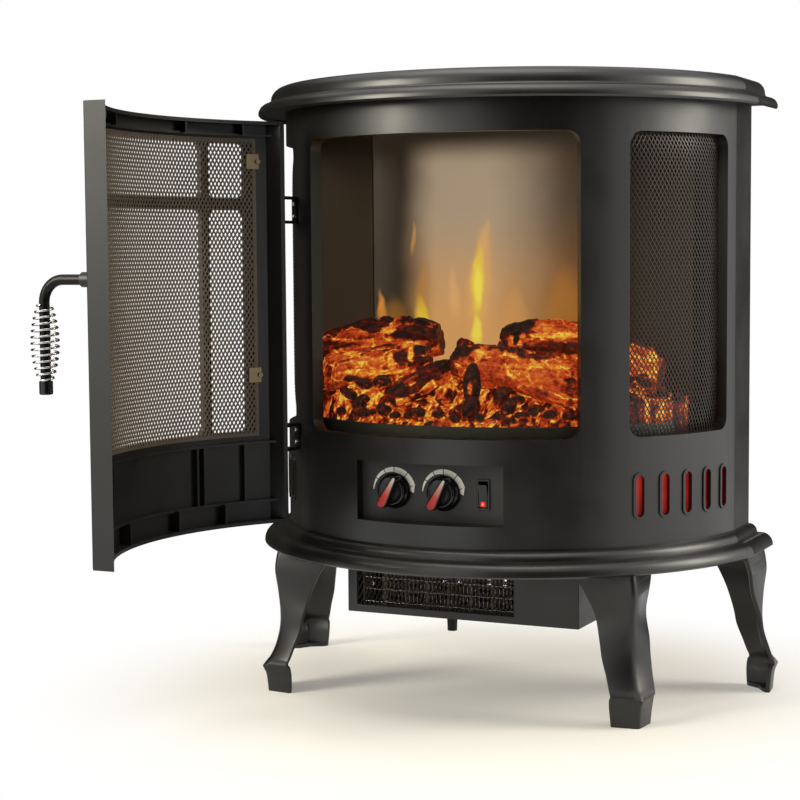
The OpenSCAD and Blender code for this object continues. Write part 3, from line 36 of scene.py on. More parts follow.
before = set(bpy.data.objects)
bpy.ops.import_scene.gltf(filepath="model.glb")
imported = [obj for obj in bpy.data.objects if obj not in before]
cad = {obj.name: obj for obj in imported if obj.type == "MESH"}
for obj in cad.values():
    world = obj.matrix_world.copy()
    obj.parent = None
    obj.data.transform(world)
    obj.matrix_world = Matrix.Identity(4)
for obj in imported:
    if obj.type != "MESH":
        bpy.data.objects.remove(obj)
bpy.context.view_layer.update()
scene = bpy.context.scene

stove = {
    "arcY": 107.0,                  # axis of the round front, behind the middle
    "hinge": (-180.0, -105.696),    # axis of the door's two pins
    "doorOpen": 89.0,               # degrees from shut, as the door stands at rest
}

# Camera solved from the photograph: metres, radians, and the lens in mm
view = {
    "place": (0.76484, -1.81832, 0.46382),
    "turn": 0.4404,                 # to the left of straight on
    "dip": 0.0791,                  # below level
    "roll": -0.0074,
    "lens": 85.14,
    "sensor": 36,
    "sees": (0.05, 60),             # nearest and farthest
}


def addCamera():
    turn, dip, roll = view["turn"], view["dip"], view["roll"]
    ahead = Vector((-math.sin(turn) * math.cos(dip), math.cos(turn) * math.cos(dip), -math.sin(dip)))
    right = Vector((math.cos(turn), math.sin(turn), 0))
    up = right.cross(ahead)
    x = right * math.cos(roll) + up * math.sin(roll)
    y = up * math.cos(roll) - right * math.sin(roll)
    data = bpy.data.cameras.new("camera")
    data.lens, data.sensor_width = view["lens"], view["sensor"]
    data.clip_start, data.clip_end = view["sees"]
    camera = bpy.data.objects.new("camera", data)
    scene.collection.objects.link(camera)
    camera.matrix_world = Matrix.Translation(view["place"]) @ Matrix((x, y, -ahead)).transposed().to_4x4()
    scene.camera = camera
    scene.view_settings.view_transform = "Standard"


# sRGB hex code to the linear colour that the nodes take
def toLinear(code):
    parts = [int(code[i:i + 2], 16) / 255 for i in (1, 3, 5)]
    return [c / 12.92 if c <= 0.04045 else ((c + 0.055) / 1.055) ** 2.4 for c in parts] + [1.0]


# One node with its settings; an input may be a number, a socket or the node that feeds it
def addNode(tree, kind, inputs=None, stops=(), **settings):
    node = tree.nodes.new("ShaderNode" + kind)
    for key, value in settings.items():
        setattr(node, key, value)
    for number, (place, colour) in enumerate(stops):
        if number >= len(node.color_ramp.elements):
            node.color_ramp.elements.new(place)
        mark = node.color_ramp.elements[number]
        mark.position, mark.color = place, toLinear(colour)
    for key, value in (inputs or {}).items():
        if isinstance(value, bpy.types.Node):
            value = value.outputs[0]
        if isinstance(value, bpy.types.NodeSocket):
            tree.links.new(value, node.inputs[key])
        else:
            node.inputs[key].default_value = value
    return node


def startMaterial(name, colour, roughness, metallic=0.0, **sockets):
    material = bpy.data.materials.new(name)
    material.use_nodes = True
    tree = material.node_tree
    tree.nodes.clear()
    shader = addNode(tree, "BsdfPrincipled", {"Base Color": toLinear(colour), "Roughness": roughness,
                     "Metallic": metallic})
    for key, value in sockets.items():
        shader.inputs[key.replace("_", " ")].default_value = value
    addNode(tree, "OutputMaterial", {"Surface": shader}, name="out")
    return material, tree, shader


# A mesh piece that rides on a body, stands for CAD nodes and wears the finish it is given
def addPiece(name, verts, faces, material, body, replaces=(), sharp=30):
    mesh = bpy.data.meshes.new(name)
    mesh.from_pydata([tuple(v) for v in verts], [], [tuple(f) for f in faces])
    mesh.validate()
    mesh.shade_smooth()
    mesh.set_sharp_from_angle(angle=math.radians(sharp))
    mesh.materials.append(material)
    piece = bpy.data.objects.new(name, mesh)
    scene.collection.objects.link(piece)
    if body:
        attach(piece, body)
    if replaces:
        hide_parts(*replaces)
    return piece


# Sizes in the studio are in metres
studio = {
    "room": ("#d2cdc5", 0.60),      # light that the room gives to matt surfaces, and its level
    "paper": "#ebe9e5",
    "paperHalf": 9,                 # from its middle to its edge
    "shadowTint": ("#fffaf0", 0.20),    # warm light that lifts the shadow on the paper
    "whiteFrom": (0.22, 0.50),      # where the paper starts and ends its fade to plain white
    # name: place, target, size, radiance, colour
    "softboxes": {
        "keyLeft": ((-1.62, -2.05, 1.42), (0, 0, 0.50), (0.95, 1.50), 13.0, "#fff9e6"),
        "overhead": ((-0.1, -0.3, 2.5), (0, 0, 0.4), (1.8, 1.2), 2.4, "#fffaf0"),
        "sideRight": ((2.15, 0.72, 1.25), (0.1, 0, 0.50), (0.95, 1.40), 8.5, "#fff9e8"),
    },
    # dark curtains give the satin paint something dark to mirror; only glossy rays meet them
    # name: from and to, degrees round the stove, with 0 in front and 90 to the right
    "curtains": {"curtainFront": (6, 66), "curtainLeft": (-172, -64), "curtainBack": (150, 186)},
    "curtainReach": (0.75, 3.6),    # they lie on the floor between these, then stand up
    "curtainHeight": (0.004, 3.4),
    "curtainFolds": 12,
}


# 1 for rays that show a surface to the eye: straight, in a mirror or through glass
def seenRays(tree):
    path = addNode(tree, "LightPath")
    seen = addNode(tree, "Math", {0: path.outputs["Is Camera Ray"], 1: path.outputs["Is Glossy Ray"]},
                   operation="MAXIMUM")
    return addNode(tree, "Math", {0: seen, 1: path.outputs["Is Transmission Ray"]}, operation="MAXIMUM")


# Plain white to the eye, and a softer warm grey as light on the stove
def paintRoom():
    world = bpy.data.worlds.new("studio")
    scene.world = world
    world.use_nodes = True
    tree = world.node_tree
    tree.nodes.clear()
    colour, level = studio["room"]
    room = addNode(tree, "Background", {"Color": toLinear(colour), "Strength": level})
    white = addNode(tree, "Background", {"Color": (1, 1, 1, 1), "Strength": 1.0})
    mix = addNode(tree, "MixShader", {0: seenRays(tree), 1: room, 2: white})
    addNode(tree, "OutputWorld", {"Surface": mix})


def hangSoftboxes():
    for name, (place, target, size, radiance, colour) in studio["softboxes"].items():
        data = bpy.data.lights.new(name, "AREA")
        data.shape, data.size, data.size_y = "RECTANGLE", size[0], size[1]
        data.energy = radiance * math.pi * size[0] * size[1]
        data.color = toLinear(colour)[:3]
        lamp = bpy.data.objects.new(name, data)
        scene.collection.objects.link(lamp)
        lamp.location = place
        lamp.rotation_euler = (Vector(target) - Vector(place)).to_track_quat("-Z", "Y").to_euler()


# Matt black cloth, seen only as a dark band in the paint
def hangCurtains():
    cloth = startMaterial("blackCurtain", "#060606", 1.0)[0]
    (near, far), (low, high) = studio["curtainReach"], studio["curtainHeight"]
    profile = ((near, low), (far, low), (far, high))
    folds = studio["curtainFolds"]
    for name, (first, last) in studio["curtains"].items():
        verts = []
        for i in range(folds + 1):
            a = math.radians(first + (last - first) * i / folds)
            verts += [(r * math.sin(a), -r * math.cos(a), z) for r, z in profile]
        faces = [(3 * i + k, 3 * i + 3 + k, 3 * i + 4 + k, 3 * i + 1 + k)
                 for i in range(folds) for k in (0, 1)]
        curtain = addPiece(name, verts, faces, cloth, None)
        curtain.visible_camera = curtain.visible_diffuse = False
        curtain.visible_transmission = curtain.visible_shadow = False


# White seamless paper: it keeps the stove's shadow and fades to plain white away from it
def layPaper():
    paper, tree, shader = startMaterial("paperFloor", studio["paper"], 0.9)
    seen = seenRays(tree)
    colour, level = studio["shadowTint"]
    lift = addNode(tree, "Math", {0: seen, 1: level}, operation="MULTIPLY")
    lift = addNode(tree, "Emission", {"Color": toLinear(colour), "Strength": lift})
    near = addNode(tree, "AddShader", {0: shader, 1: lift})
    spot = addNode(tree, "TexCoord")
    away = addNode(tree, "VectorMath", {0: spot.outputs["Object"]}, operation="LENGTH")
    first, last = studio["whiteFrom"]
    fade = addNode(tree, "MapRange", {"Value": away.outputs["Value"], "From Min": first, "From Max": last},
                   interpolation_type="SMOOTHSTEP")
    fade = addNode(tree, "Math", {0: fade, 1: seen}, operation="MULTIPLY")
    white = addNode(tree, "Emission", {"Color": (1, 1, 1, 1), "Strength": 1.0})
    both = addNode(tree, "MixShader", {0: fade, 1: near, 2: white})
    tree.links.new(both.outputs[0], tree.nodes["out"].inputs["Surface"])
    h = studio["paperHalf"]
    addPiece("floor", [(-h, -h, 0), (h, -h, 0), (h, h, 0), (-h, h, 0)], [(0, 1, 2, 3)], paper, None)


# Point at phi degrees round the casing's front, 0 straight ahead, in metres
def onArc(phi, radius, z):
    a = math.radians(phi)
    return (radius * math.sin(a) / 1000, (stove["arcY"] - radius * math.cos(a)) / 1000, z / 1000)


# From the shut door's place to the open one at rest
def doorMatrix():
    hinge = Matrix.Translation((stove["hinge"][0] / 1000, stove["hinge"][1] / 1000, 0))
    return hinge @ Matrix.Rotation(-math.radians(stove["doorOpen"]), 4, "Z") @ hinge.inverted()


# Faces between closed rings of points that follow one another, with the two ends closed
def skinRings(rings, start=0):
    n = len(rings[0])
    faces = []
    for i in range(len(rings) - 1):
        low, high = start + i * n, start + (i + 1) * n
        faces += [(low + j, low + (j + 1) % n, high + (j + 1) % n, high + j) for j in range(n)]
    last = start + (len(rings) - 1) * n
    return faces + [tuple(range(start + n - 1, start - 1, -1)), tuple(range(last, last + n))]


tooth = {
    "drift": 45,                    # mm between shinier and duller places
    "spread": (0.3, 0.7),           # part of the noise that is used
    "fineDetail": 2.0,
    "broadDetail": 3.0,
}


# Tooth of a surface: fine grain for the bump, broad drift for the roughness; sizes in mm
def addTooth(tree, shader, size, depth, drift=0.05):
    spot = addNode(tree, "TexCoord").outputs["Object"]
    fine = addNode(tree, "TexNoise", {"Vector": spot, "Scale": 1000 / size, "Detail": tooth["fineDetail"]})
    bump = addNode(tree, "Bump", {"Height": fine, "Distance": depth / 1000})
    tree.links.new(bump.outputs[0], shader.inputs["Normal"])
    broad = addNode(tree, "TexNoise", {"Vector": spot, "Scale": 1000 / tooth["drift"],
                    "Detail": tooth["broadDetail"]})
    level = shader.inputs["Roughness"].default_value
    low, high = tooth["spread"]
    rough = addNode(tree, "MapRange", {"Value": broad, "From Min": low, "From Max": high,
                    "To Min": level - drift, "To Max": level + drift})
    tree.links.new(rough.outputs[0], shader.inputs["Roughness"])
    return spot, fine, broad


# name: colours it drifts between, roughness, metallic, grain size and depth in mm, roughness drift
plainFinishes = {
    "powderCoatedSteel": ("#13110f", "#181614", 0.36, 0.0, 1.6, 0.010, 0.04),   # satin, faint orange peel
    "paintedCastIron": ("#131312", "#191817", 0.36, 0.0, 2.4, 0.030, 0.05),     # soft sand-cast skin
    "satinAbs": ("#151412", "#1a1816", 0.33, 0.0, 0.9, 0.006, 0.03),            # even moulded sheen
    "dullAbs": ("#0c0b0b", "#100f0e", 0.40, 0.0, 0.9, 0.010, 0.03),             # back of a moulded frame
    "sparkAbs": ("#262624", "#2c2c29", 0.50, 0.0, 0.7, 0.015, 0.03),            # spark-eroded dull face
    "glossAbs": ("#0a0a0a", "#101010", 0.24, 0.0, 1.2, 0.004, 0.03),            # crisp dark glints
    "blackOxideSteel": ("#161615", "#201f1d", 0.33, 0.7, 0.8, 0.006, 0.06),     # dark with metal under it
    "expandedSteel": ("#2a2521", "#3a332c", 0.42, 0.3, 1.0, 0.010, 0.06),       # brown-black heat paint
    # lit copy of the side sheets' steel: painted paler for the light that falls on the open door
    "litDoorExpandedSteel": ("#4b4239", "#61574c", 0.42, 0.3, 1.0, 0.010, 0.06),   # same, a shade paler
    # dark heat paint, its brown partly standing for the screen's warm light painted onto it
    "screenWarmedHeatPaint": ("#33261a", "#403021", 0.75, 0.0, 2.0, 0.020, 0.05),    # dull olive brown
    "brightAluminium": ("#c2c1bc", "#cfcec9", 0.26, 1.0, 0.5, 0.003, 0.04),     # mirror-like plate
    "galvanisedSteel": ("#8f908c", "#a9aaa6", 0.42, 1.0, 9.0, 0.004, 0.10),     # spangled zinc
    "motorSteel": ("#6f6d68", "#827f78", 0.40, 1.0, 1.0, 0.006, 0.06),          # stamped laminations
    "zincPlatedSteel": ("#a5a49d", "#bdbcb5", 0.30, 1.0, 0.6, 0.004, 0.05),     # pale screw heads
    "brassedSteel": ("#6a5d48", "#8a7b62", 0.34, 1.0, 0.8, 0.006, 0.08),        # dull yellow spring clips
    "chromedSteel": ("#dcdcda", "#e6e5e2", 0.07, 1.0, 3.0, 0.001, 0.02),        # bright mirror
    "blackSheetSteel": ("#1a1a19", "#222220", 0.44, 0.0, 1.2, 0.010, 0.05),     # folded painted box
    "trayEnamel": ("#2c2d2b", "#363735", 0.46, 0.0, 1.2, 0.010, 0.05),          # grey-black lip of the tray
    "micaSheet": ("#6b6150", "#857a66", 0.55, 0.0, 1.5, 0.010, 0.06),           # flaky tan board
    "guardSteel": ("#1c1a17", "#2b2824", 0.35, 0.8, 0.8, 0.005, 0.05),          # heat-darkened strands
    "nichromeWire": ("#8d8068", "#b0a48c", 0.34, 0.9, 0.6, 0.006, 0.08),        # tan, heat-dulled turns
    "supportWire": ("#b9b5aa", "#d6d3c9", 0.25, 1.0, 0.6, 0.004, 0.05),         # bright drawn rods
    "phenolicResin": ("#3f3c38", "#4c4843", 0.48, 0.0, 0.8, 0.008, 0.04),       # brown-grey bodies
    "ceramicBody": ("#a0977f", "#b3aa94", 0.60, 0.0, 0.7, 0.010, 0.04),         # matt cut-out case
    "pvcGland": ("#151514", "#1d1d1c", 0.62, 0.0, 0.6, 0.006, 0.04),            # soft rubbery black
    "ferrite": ("#4a4a48", "#5a5a57", 0.50, 0.2, 0.6, 0.006, 0.04),             # grey magnet face
    "blowerSteel": ("#5f5e5a", "#73726d", 0.45, 0.9, 0.8, 0.006, 0.06),         # dull rolled blades
}

cadFinish = {
    "powderCoatedSteel": "front_casing rear_case service_cover",
    "satinAbs": "top_plate base_plate",
    "dullAbs": "door_frame",
    "sparkAbs": "control_panel",
    "glossAbs": "switch_bezel switch_rocker handle_cap",
    "blackOxideSteel": "hinge_leaves hinge_brackets handle_rod",
    "screenWarmedHeatPaint": "firebox_floor firebox_back firebox_roof",
    "brightAluminium": "flame_reflector flicker_rotor",
    "galvanisedSteel": "flicker_bracket lamp_bar",
    "motorSteel": "flicker_motor blower_motor",
    "zincPlatedSteel": "casing_screws leg_bolts",
    "brassedSteel": "door_clips",
    "chromedSteel": "hinge_pins",
    "blackSheetSteel": "heater_housing",
    "micaSheet": "element_frame",
    "phenolicResin": "dimmer thermostat",
    "ceramicBody": "thermal_cutout",
    "pvcGland": "cord_gland",
    "ferrite": "door_magnets",
    "blowerSteel": "blower_wheel",
}
# these two are glossier at their top than in their body
topCoat = {"names": ("powderCoatedSteel", "satinAbs"), "level": 0.68}
# each finished material by its name
finishes = {}


def makePlainFinishes():
    for name, (first, second, roughness, metallic, size, depth, drift) in plainFinishes.items():
        material, tree, shader = startMaterial(name, first, roughness, metallic)
        fine, broad = addTooth(tree, shader, size, depth, drift)[1:]
        amount = addNode(tree, "Math", {0: fine, 1: broad}, operation="ADD")
        amount = addNode(tree, "Math", {0: amount, 1: 0.5}, operation="MULTIPLY")
        mix = addNode(tree, "Mix", {0: amount, 6: toLinear(first), 7: toLinear(second)}, data_type="RGBA")
        tree.links.new(mix.outputs[2], shader.inputs["Base Color"])
        if name in topCoat["names"]:
            shader.inputs["Specular IOR Level"].default_value = topCoat["level"]
        finishes[name] = material


def dressNode(name, material):
    for slot in cad[name].material_slots:
        slot.material = material
    if not cad[name].material_slots:
        cad[name].data.materials.append(material)


softEdges = {
    "widths": {"top_plate": 1.2, "base_plate": 1.0, "front_casing": 1.0, "heater_housing": 0.8,
               "switch_bezel": 0.4, "switch_rocker": 0.4},
    "segments": 2,
    "corner": 32,                   # degrees from which an edge is rounded
    "join": 0.02,
}


# A small round on the moulded and pressed edges, so that they catch the light
def softenEdges(name, width):
    piece = cad[name]
    join = piece.modifiers.new("join", "WELD")
    join.merge_threshold = softEdges["join"] / 1000
    edge = piece.modifiers.new("edge", "BEVEL")
    edge.width, edge.segments = width / 1000, softEdges["segments"]
    edge.limit_method, edge.angle_limit = "ANGLE", math.radians(softEdges["corner"])
    edge.use_clamp_overlap = True
    even = piece.modifiers.new("even", "WEIGHTED_NORMAL")
    even.keep_sharp = True


pane = {"tint": "#f3f1ea", "gloss": 0.05, "ior": 1.45, "mirror": 0.008}


# Tempered pane: see-through, with a faint cool reflection at its face
def makeGlass():
    material, tree, shader = startMaterial("temperedGlass", "#f4f7f5", 0.03)
    clear = addNode(tree, "BsdfTransparent", {"Color": toLinear(pane["tint"])})
    gloss = addNode(tree, "BsdfGlossy", {"Color": toLinear("#ffffff"), "Roughness": pane["gloss"]})
    facing = addNode(tree, "Fresnel", {"IOR": pane["ior"]})
    amount = addNode(tree, "Math", {0: facing, 1: pane["mirror"]}, operation="MULTIPLY")
    mix = addNode(tree, "MixShader", {0: amount, 1: clear, 2: gloss})
    tree.links.new(mix.outputs[0], tree.nodes["out"].inputs["Surface"])
    finishes["temperedGlass"] = material


film = {"glowTones": ((0.35, "#5a0c08"), (0.6, "#98190f"), (0.75, "#c22c1a")), "glow": 0.8}


# Film behind the slots: deep red, with the lamps' light behind it painted in as a red glow that drifts in
# strength
def makeSlotFilm():
    material, tree, shader = startMaterial("redPolyesterFilm", "#6e120c", 0.35)
    broad = addTooth(tree, shader, 2.0, 0.004)[2]
    glow = addNode(tree, "ValToRGB", {0: broad}, film["glowTones"])
    tree.links.new(glow.outputs[0], shader.inputs["Emission Color"])
    shader.inputs["Emission Strength"].default_value = film["glow"]
    finishes["redPolyesterFilm"] = material


# Frosted candle lamps, lit: a warm even glow through the etched glass
def makeLampGlass():
    material, tree, shader = startMaterial("frostedLampGlass", "#efe2c8", 0.45, Emission_Strength=1.2)
    addTooth(tree, shader, 1.0, 0.004)
    shader.inputs["Emission Color"].default_value = toLinear("#ffb765")
    finishes["frostedLampGlass"] = material


# Acrylic screen with its backlight painted in as glow: a pale painted glow in the middle, painted brown shade
# round it and at its top, and the thrown flames painted on as light
flameScreen = {
    "leftShade": "#2c2119", "rightShadeHigh": "#463223", "rightShadeLow": "#8a5526",
    # haze and warm are the painted glow; fade is the painted shade at the top of the screen
    "haze": "#b3a08d", "warm": "#dca66c", "fade": "#2e2720", "glow": 0.95,
    # mm across: where the glow rises and falls, and where the right shade takes over
    "glowLeft": (-114, -64), "glowRight": (-12, 96), "rightShade": (0, 62),
    "warmHeight": (380, 522), "topShadeHeight": (552, 586),
    "sway": (70, 10), "waver": (18, 4),     # size and reach of the wander in the glow and the flames
    "foot": 1.1, "tip": 0.45,               # a flame's width at its foot and its tip
    # x, z, half width, half height, lean, strength, softness, edge colour, heart colour
    "flames": (
        (-17.0, 428, 27.0, 84, 0.10, 0.62, 1.3, "#d9a26c", "#efb970"),
        (-19.5, 434, 13.0, 52, 0.05, 0.90, 1.2, "#e8a850", "#fbe04e"),
        (-19.5, 424, 9.0, 34, 0.02, 0.95, 1.0, "#f4c63e", "#fff060"),
        (-21.0, 378, 12.0, 26, -0.04, 0.90, 1.2, "#eaa548", "#ffec58"),
        (-12.0, 474, 10.0, 34, 0.16, 0.40, 1.3, "#d99a5c", "#f0bd78"),
        (-86.0, 392, 15.0, 30, -0.05, 1.00, 1.1, "#cf8a2a", "#fbdc45"),
        (-84.0, 420, 15.0, 46, 0.05, 0.45, 1.5, "#9a6a34", "#c98a3c"),
        (-133.0, 398, 9.0, 28, -0.10, 0.90, 1.1, "#a8661c", "#e9962a"),
        (-118.0, 390, 34.0, 32, 0.0, 0.55, 1.5, "#6f4a1c", "#a8721f"),
        (-96.0, 477, 6.0, 26, 0.10, 0.62, 1.3, "#8f6238", "#d8a058"),
        (-48.0, 418, 14.0, 44, -0.05, 0.50, 1.5, "#d39a68", "#f2bd80"),
        (78.0, 404, 44.0, 60, 0.0, 0.60, 1.4, "#8a5822", "#b87626"),
        (22.0, 396, 30.0, 44, 0.0, 0.50, 1.4, "#c07e42", "#dfa05c"),
    ),
}


# How near a point of the screen is to a flame's heart, from 0 outside it to 1
def nearFlame(tree, x, z, waver, flame):
    fx, fz, halfW, halfH, lean = flame
    rise = addNode(tree, "Math", {0: z, 1: fz / 1000}, operation="SUBTRACT")
    tilt = addNode(tree, "Math", {0: rise, 1: lean}, operation="MULTIPLY")
    side = addNode(tree, "Math", {0: x, 1: tilt}, operation="SUBTRACT")
    side = addNode(tree, "Math", {0: side, 1: waver}, operation="ADD")
    side = addNode(tree, "Math", {0: side, 1: fx / 1000}, operation="SUBTRACT")
    v = addNode(tree, "Math", {0: rise, 1: halfH / 1000}, operation="DIVIDE")
    foot, tip = flameScreen["foot"] * halfW / 1000, flameScreen["tip"] * halfW / 1000
    taper = addNode(tree, "MapRange", {"Value": v, "From Min": -1.0, "From Max": 1.0, "To Min": foot,
                    "To Max": tip})
    u = addNode(tree, "Math", {0: side, 1: taper}, operation="DIVIDE")
    reach = addNode(tree, "Math", {0: u, 1: u}, operation="MULTIPLY")
    reach = addNode(tree, "Math", {0: v, 1: v, 2: reach}, operation="MULTIPLY_ADD")
    return addNode(tree, "MapRange", {"Value": reach, "From Min": 1.0, "From Max": 0.0},
                   interpolation_type="SMOOTHSTEP")


# Slow wander of a pattern, as far as its reach to either side; size and reach in mm
def addWander(tree, spot, size, reach, detail):
    wander = addNode(tree, "TexNoise", {"Vector": spot, "Scale": 1000 / size, "Detail": detail})
    return addNode(tree, "MapRange", {"Value": wander, "To Min": -reach / 1000, "To Max": reach / 1000})


def makeFlameScreen():
    spec = flameScreen
    material, tree, shader = startMaterial("opalAcrylic", "#1a1510", 0.35, Emission_Strength=spec["glow"])
    spot = addNode(tree, "TexCoord").outputs["Object"]
    parts = addNode(tree, "SeparateXYZ", {0: spot})
    z = parts.outputs[2]
    x = addNode(tree, "Math", {0: parts.outputs[0], 1: addWander(tree, spot, *spec["sway"], 2.0)},
                operation="ADD")
    bands = {}
    for name, value in (("glowLeft", x), ("glowRight", x), ("rightShade", x), ("warmHeight", z),
                        ("topShadeHeight", z)):
        low, high = spec[name]
        bands[name] = addNode(tree, "MapRange", {"Value": value, "From Min": low / 1000,
                              "From Max": high / 1000}, interpolation_type="SMOOTHSTEP")
    low = addNode(tree, "Mix", {0: bands["warmHeight"], 6: toLinear(spec["rightShadeLow"]),
                  7: toLinear(spec["rightShadeHigh"])}, data_type="RGBA")
    shade = addNode(tree, "Mix", {0: bands["rightShade"], 6: toLinear(spec["leftShade"]),
                    7: low.outputs[2]}, data_type="RGBA")
    glow = addNode(tree, "Mix", {0: bands["warmHeight"], 6: toLinear(spec["warm"]),
                   7: toLinear(spec["haze"])}, data_type="RGBA")
    falls = addNode(tree, "Math", {0: 1.0, 1: bands["glowRight"]}, operation="SUBTRACT")
    bell = addNode(tree, "Math", {0: bands["glowLeft"], 1: falls}, operation="MULTIPLY")
    colour = addNode(tree, "Mix", {0: bell, 6: shade.outputs[2], 7: glow.outputs[2]}, data_type="RGBA")
    waver = addWander(tree, spot, *spec["waver"], 1.0)
    for *flame, strength, softness, edge, heart in spec["flames"]:
        near = nearFlame(tree, parts.outputs[0], z, waver, flame)
        body = addNode(tree, "Math", {0: near, 1: softness}, operation="POWER")
        body = addNode(tree, "Math", {0: body, 1: strength}, operation="MULTIPLY")
        tint = addNode(tree, "Mix", {0: near, 6: toLinear(edge), 7: toLinear(heart)}, data_type="RGBA")
        colour = addNode(tree, "Mix", {0: body, 6: colour.outputs[2], 7: tint.outputs[2]}, data_type="RGBA")
    # painted shade: the top of the screen darkens to the fade colour
    colour = addNode(tree, "Mix", {0: bands["topShadeHeight"], 6: colour.outputs[2],
                     7: toLinear(spec["fade"])}, data_type="RGBA")
    tree.links.new(colour.outputs[2], shader.inputs["Emission Color"])
    finishes["opalAcrylic"] = material


# Values on a mesh's points that its material reads
def addPointValues(piece, values, grain=None):
    for name, row in values.items():
        layer = piece.data.attributes.new(name, "FLOAT", "POINT")
        layer.data.foreach_set("value", np.asarray(row, np.float32))
    if grain is not None:
        layer = piece.data.attributes.new("grain", "FLOAT_VECTOR", "POINT")
        layer.data.foreach_set("vector", np.asarray(grain, np.float32).ravel())


# Cast resin with the lamps' light from inside painted in as its glow: the ember value runs from cold charcoal
# to the yellow of the cracks, and sets both the resin's own colour and the painted glow
emberColours = {
    "glow": ((0.0, "#0a0303"), (0.14, "#1a0705"), (0.26, "#3a0e08"), (0.38, "#651b0b"), (0.48, "#962c11"),
             (0.58, "#bd431b"), (0.70, "#d35f24"), (0.80, "#e58530"), (0.90, "#f2b03a"), (1.0, "#fbdc58")),
    "skin": ((0.0, "#2c272a"), (0.20, "#352b2f"), (0.32, "#33201f"), (0.45, "#2f130e"), (0.70, "#38150b"),
             (1.0, "#4a2a12")),
    # strength, streaks and specks across the tone, crack cell in mm, crack lift
    "castLogResin": (0.96, 0.30, 0.40, 13.0, 0.22),
    "castEmberResin": (0.96, 0.08, 0.74, 5.5, 0.18),
    # sizes in mm; the cracks wander by crackPush
    "streak": 5.0, "speck": 4.2, "crackWander": 8, "crackPush": 7, "patch": 24, "grit": 2.2, "gritDepth": 0.6,
    "noiseSpread": (0.25, 0.75),
    "crackEdge": (0.012, 0.075),            # from a crack's middle to its side
    "patchEdge": (0.44, 0.60),              # where the noise lets cracks show
    "warmFrom": (0.34, 0.52),               # tones at which cracks light up
}


# Noise that shifts the tone by half its amount either way
def addToneNoise(tree, vector, size, amount, detail, roughness):
    low, high = emberColours["noiseSpread"]
    grains = addNode(tree, "TexNoise", {"Vector": vector, "Scale": 1000 / size, "Detail": detail,
                     "Roughness": roughness})
    return addNode(tree, "MapRange", {"Value": grains, "From Min": low, "From Max": high,
                   "To Min": -amount / 2, "To Max": amount / 2})


# Glowing cracks where the resin is warm, in patches
def addCracks(tree, spot, heat, size, amount):
    spec = emberColours
    warp = addNode(tree, "TexNoise", {"Vector": spot, "Scale": 1000 / spec["crackWander"], "Detail": 3.0})
    push = (spec["crackPush"] / 1000,) * 3
    bent = addNode(tree, "VectorMath", {0: warp.outputs[1], 1: push, 2: spot}, operation="MULTIPLY_ADD")
    cells = addNode(tree, "TexVoronoi", {"Vector": bent, "Scale": 1000 / size}, feature="DISTANCE_TO_EDGE")
    middle, side = spec["crackEdge"]
    crack = addNode(tree, "MapRange", {"Value": cells, "From Min": middle, "From Max": side, "To Min": 1.0,
                    "To Max": 0.0})
    patch = addNode(tree, "TexNoise", {"Vector": spot, "Scale": 1000 / spec["patch"], "Detail": 2.0})
    low, high = spec["patchEdge"]
    patch = addNode(tree, "MapRange", {"Value": patch, "From Min": low, "From Max": high})
    low, high = spec["warmFrom"]
    warm = addNode(tree, "MapRange", {"Value": heat, "From Min": low, "From Max": high})
    lift = addNode(tree, "Math", {0: crack, 1: patch}, operation="MULTIPLY")
    lift = addNode(tree, "Math", {0: lift, 1: warm}, operation="MULTIPLY")
    return addNode(tree, "Math", {0: lift, 1: amount}, operation="MULTIPLY")


def makeEmberResin(name):
    strength, streaks, specks, crackSize, crackLift = emberColours[name]
    material, tree, shader = startMaterial(name, "#3a302e", 0.6, Specular_IOR_Level=0.25,
                                           Emission_Strength=strength)
    spot = addNode(tree, "TexCoord").outputs["Object"]
    heat = addNode(tree, "Attribute", attribute_name="ember").outputs["Fac"]
    # grain runs along each log, so that the char streaks follow the wood
    grain = addNode(tree, "Attribute", attribute_name="grain").outputs["Vector"]
    streak = addToneNoise(tree, grain, emberColours["streak"], streaks, 3.0, 0.62)
    speck = addToneNoise(tree, spot, emberColours["speck"], specks, 4.0, 0.65)
    cracks = addCracks(tree, spot, heat, crackSize, crackLift)
    tone = addNode(tree, "Math", {0: heat, 1: streak}, operation="ADD")
    tone = addNode(tree, "Math", {0: tone, 1: speck}, operation="ADD")
    tone = addNode(tree, "Math", {0: tone, 1: cracks}, operation="ADD", use_clamp=True)
    glow = addNode(tree, "ValToRGB", {0: tone}, emberColours["glow"])
    skin = addNode(tree, "ValToRGB", {0: tone}, emberColours["skin"])
    # glow: the lamps' light through the resin, painted in as emission; skin: the resin's own colour
    tree.links.new(glow.outputs[0], shader.inputs["Emission Color"])
    tree.links.new(skin.outputs[0], shader.inputs["Base Color"])
    grit = addNode(tree, "TexNoise", {"Vector": spot, "Scale": 1000 / emberColours["grit"], "Detail": 3.0})
    bump = addNode(tree, "Bump", {"Height": grit, "Distance": emberColours["gritDepth"] / 1000})
    tree.links.new(bump.outputs[0], shader.inputs["Normal"])
    finishes[name] = material


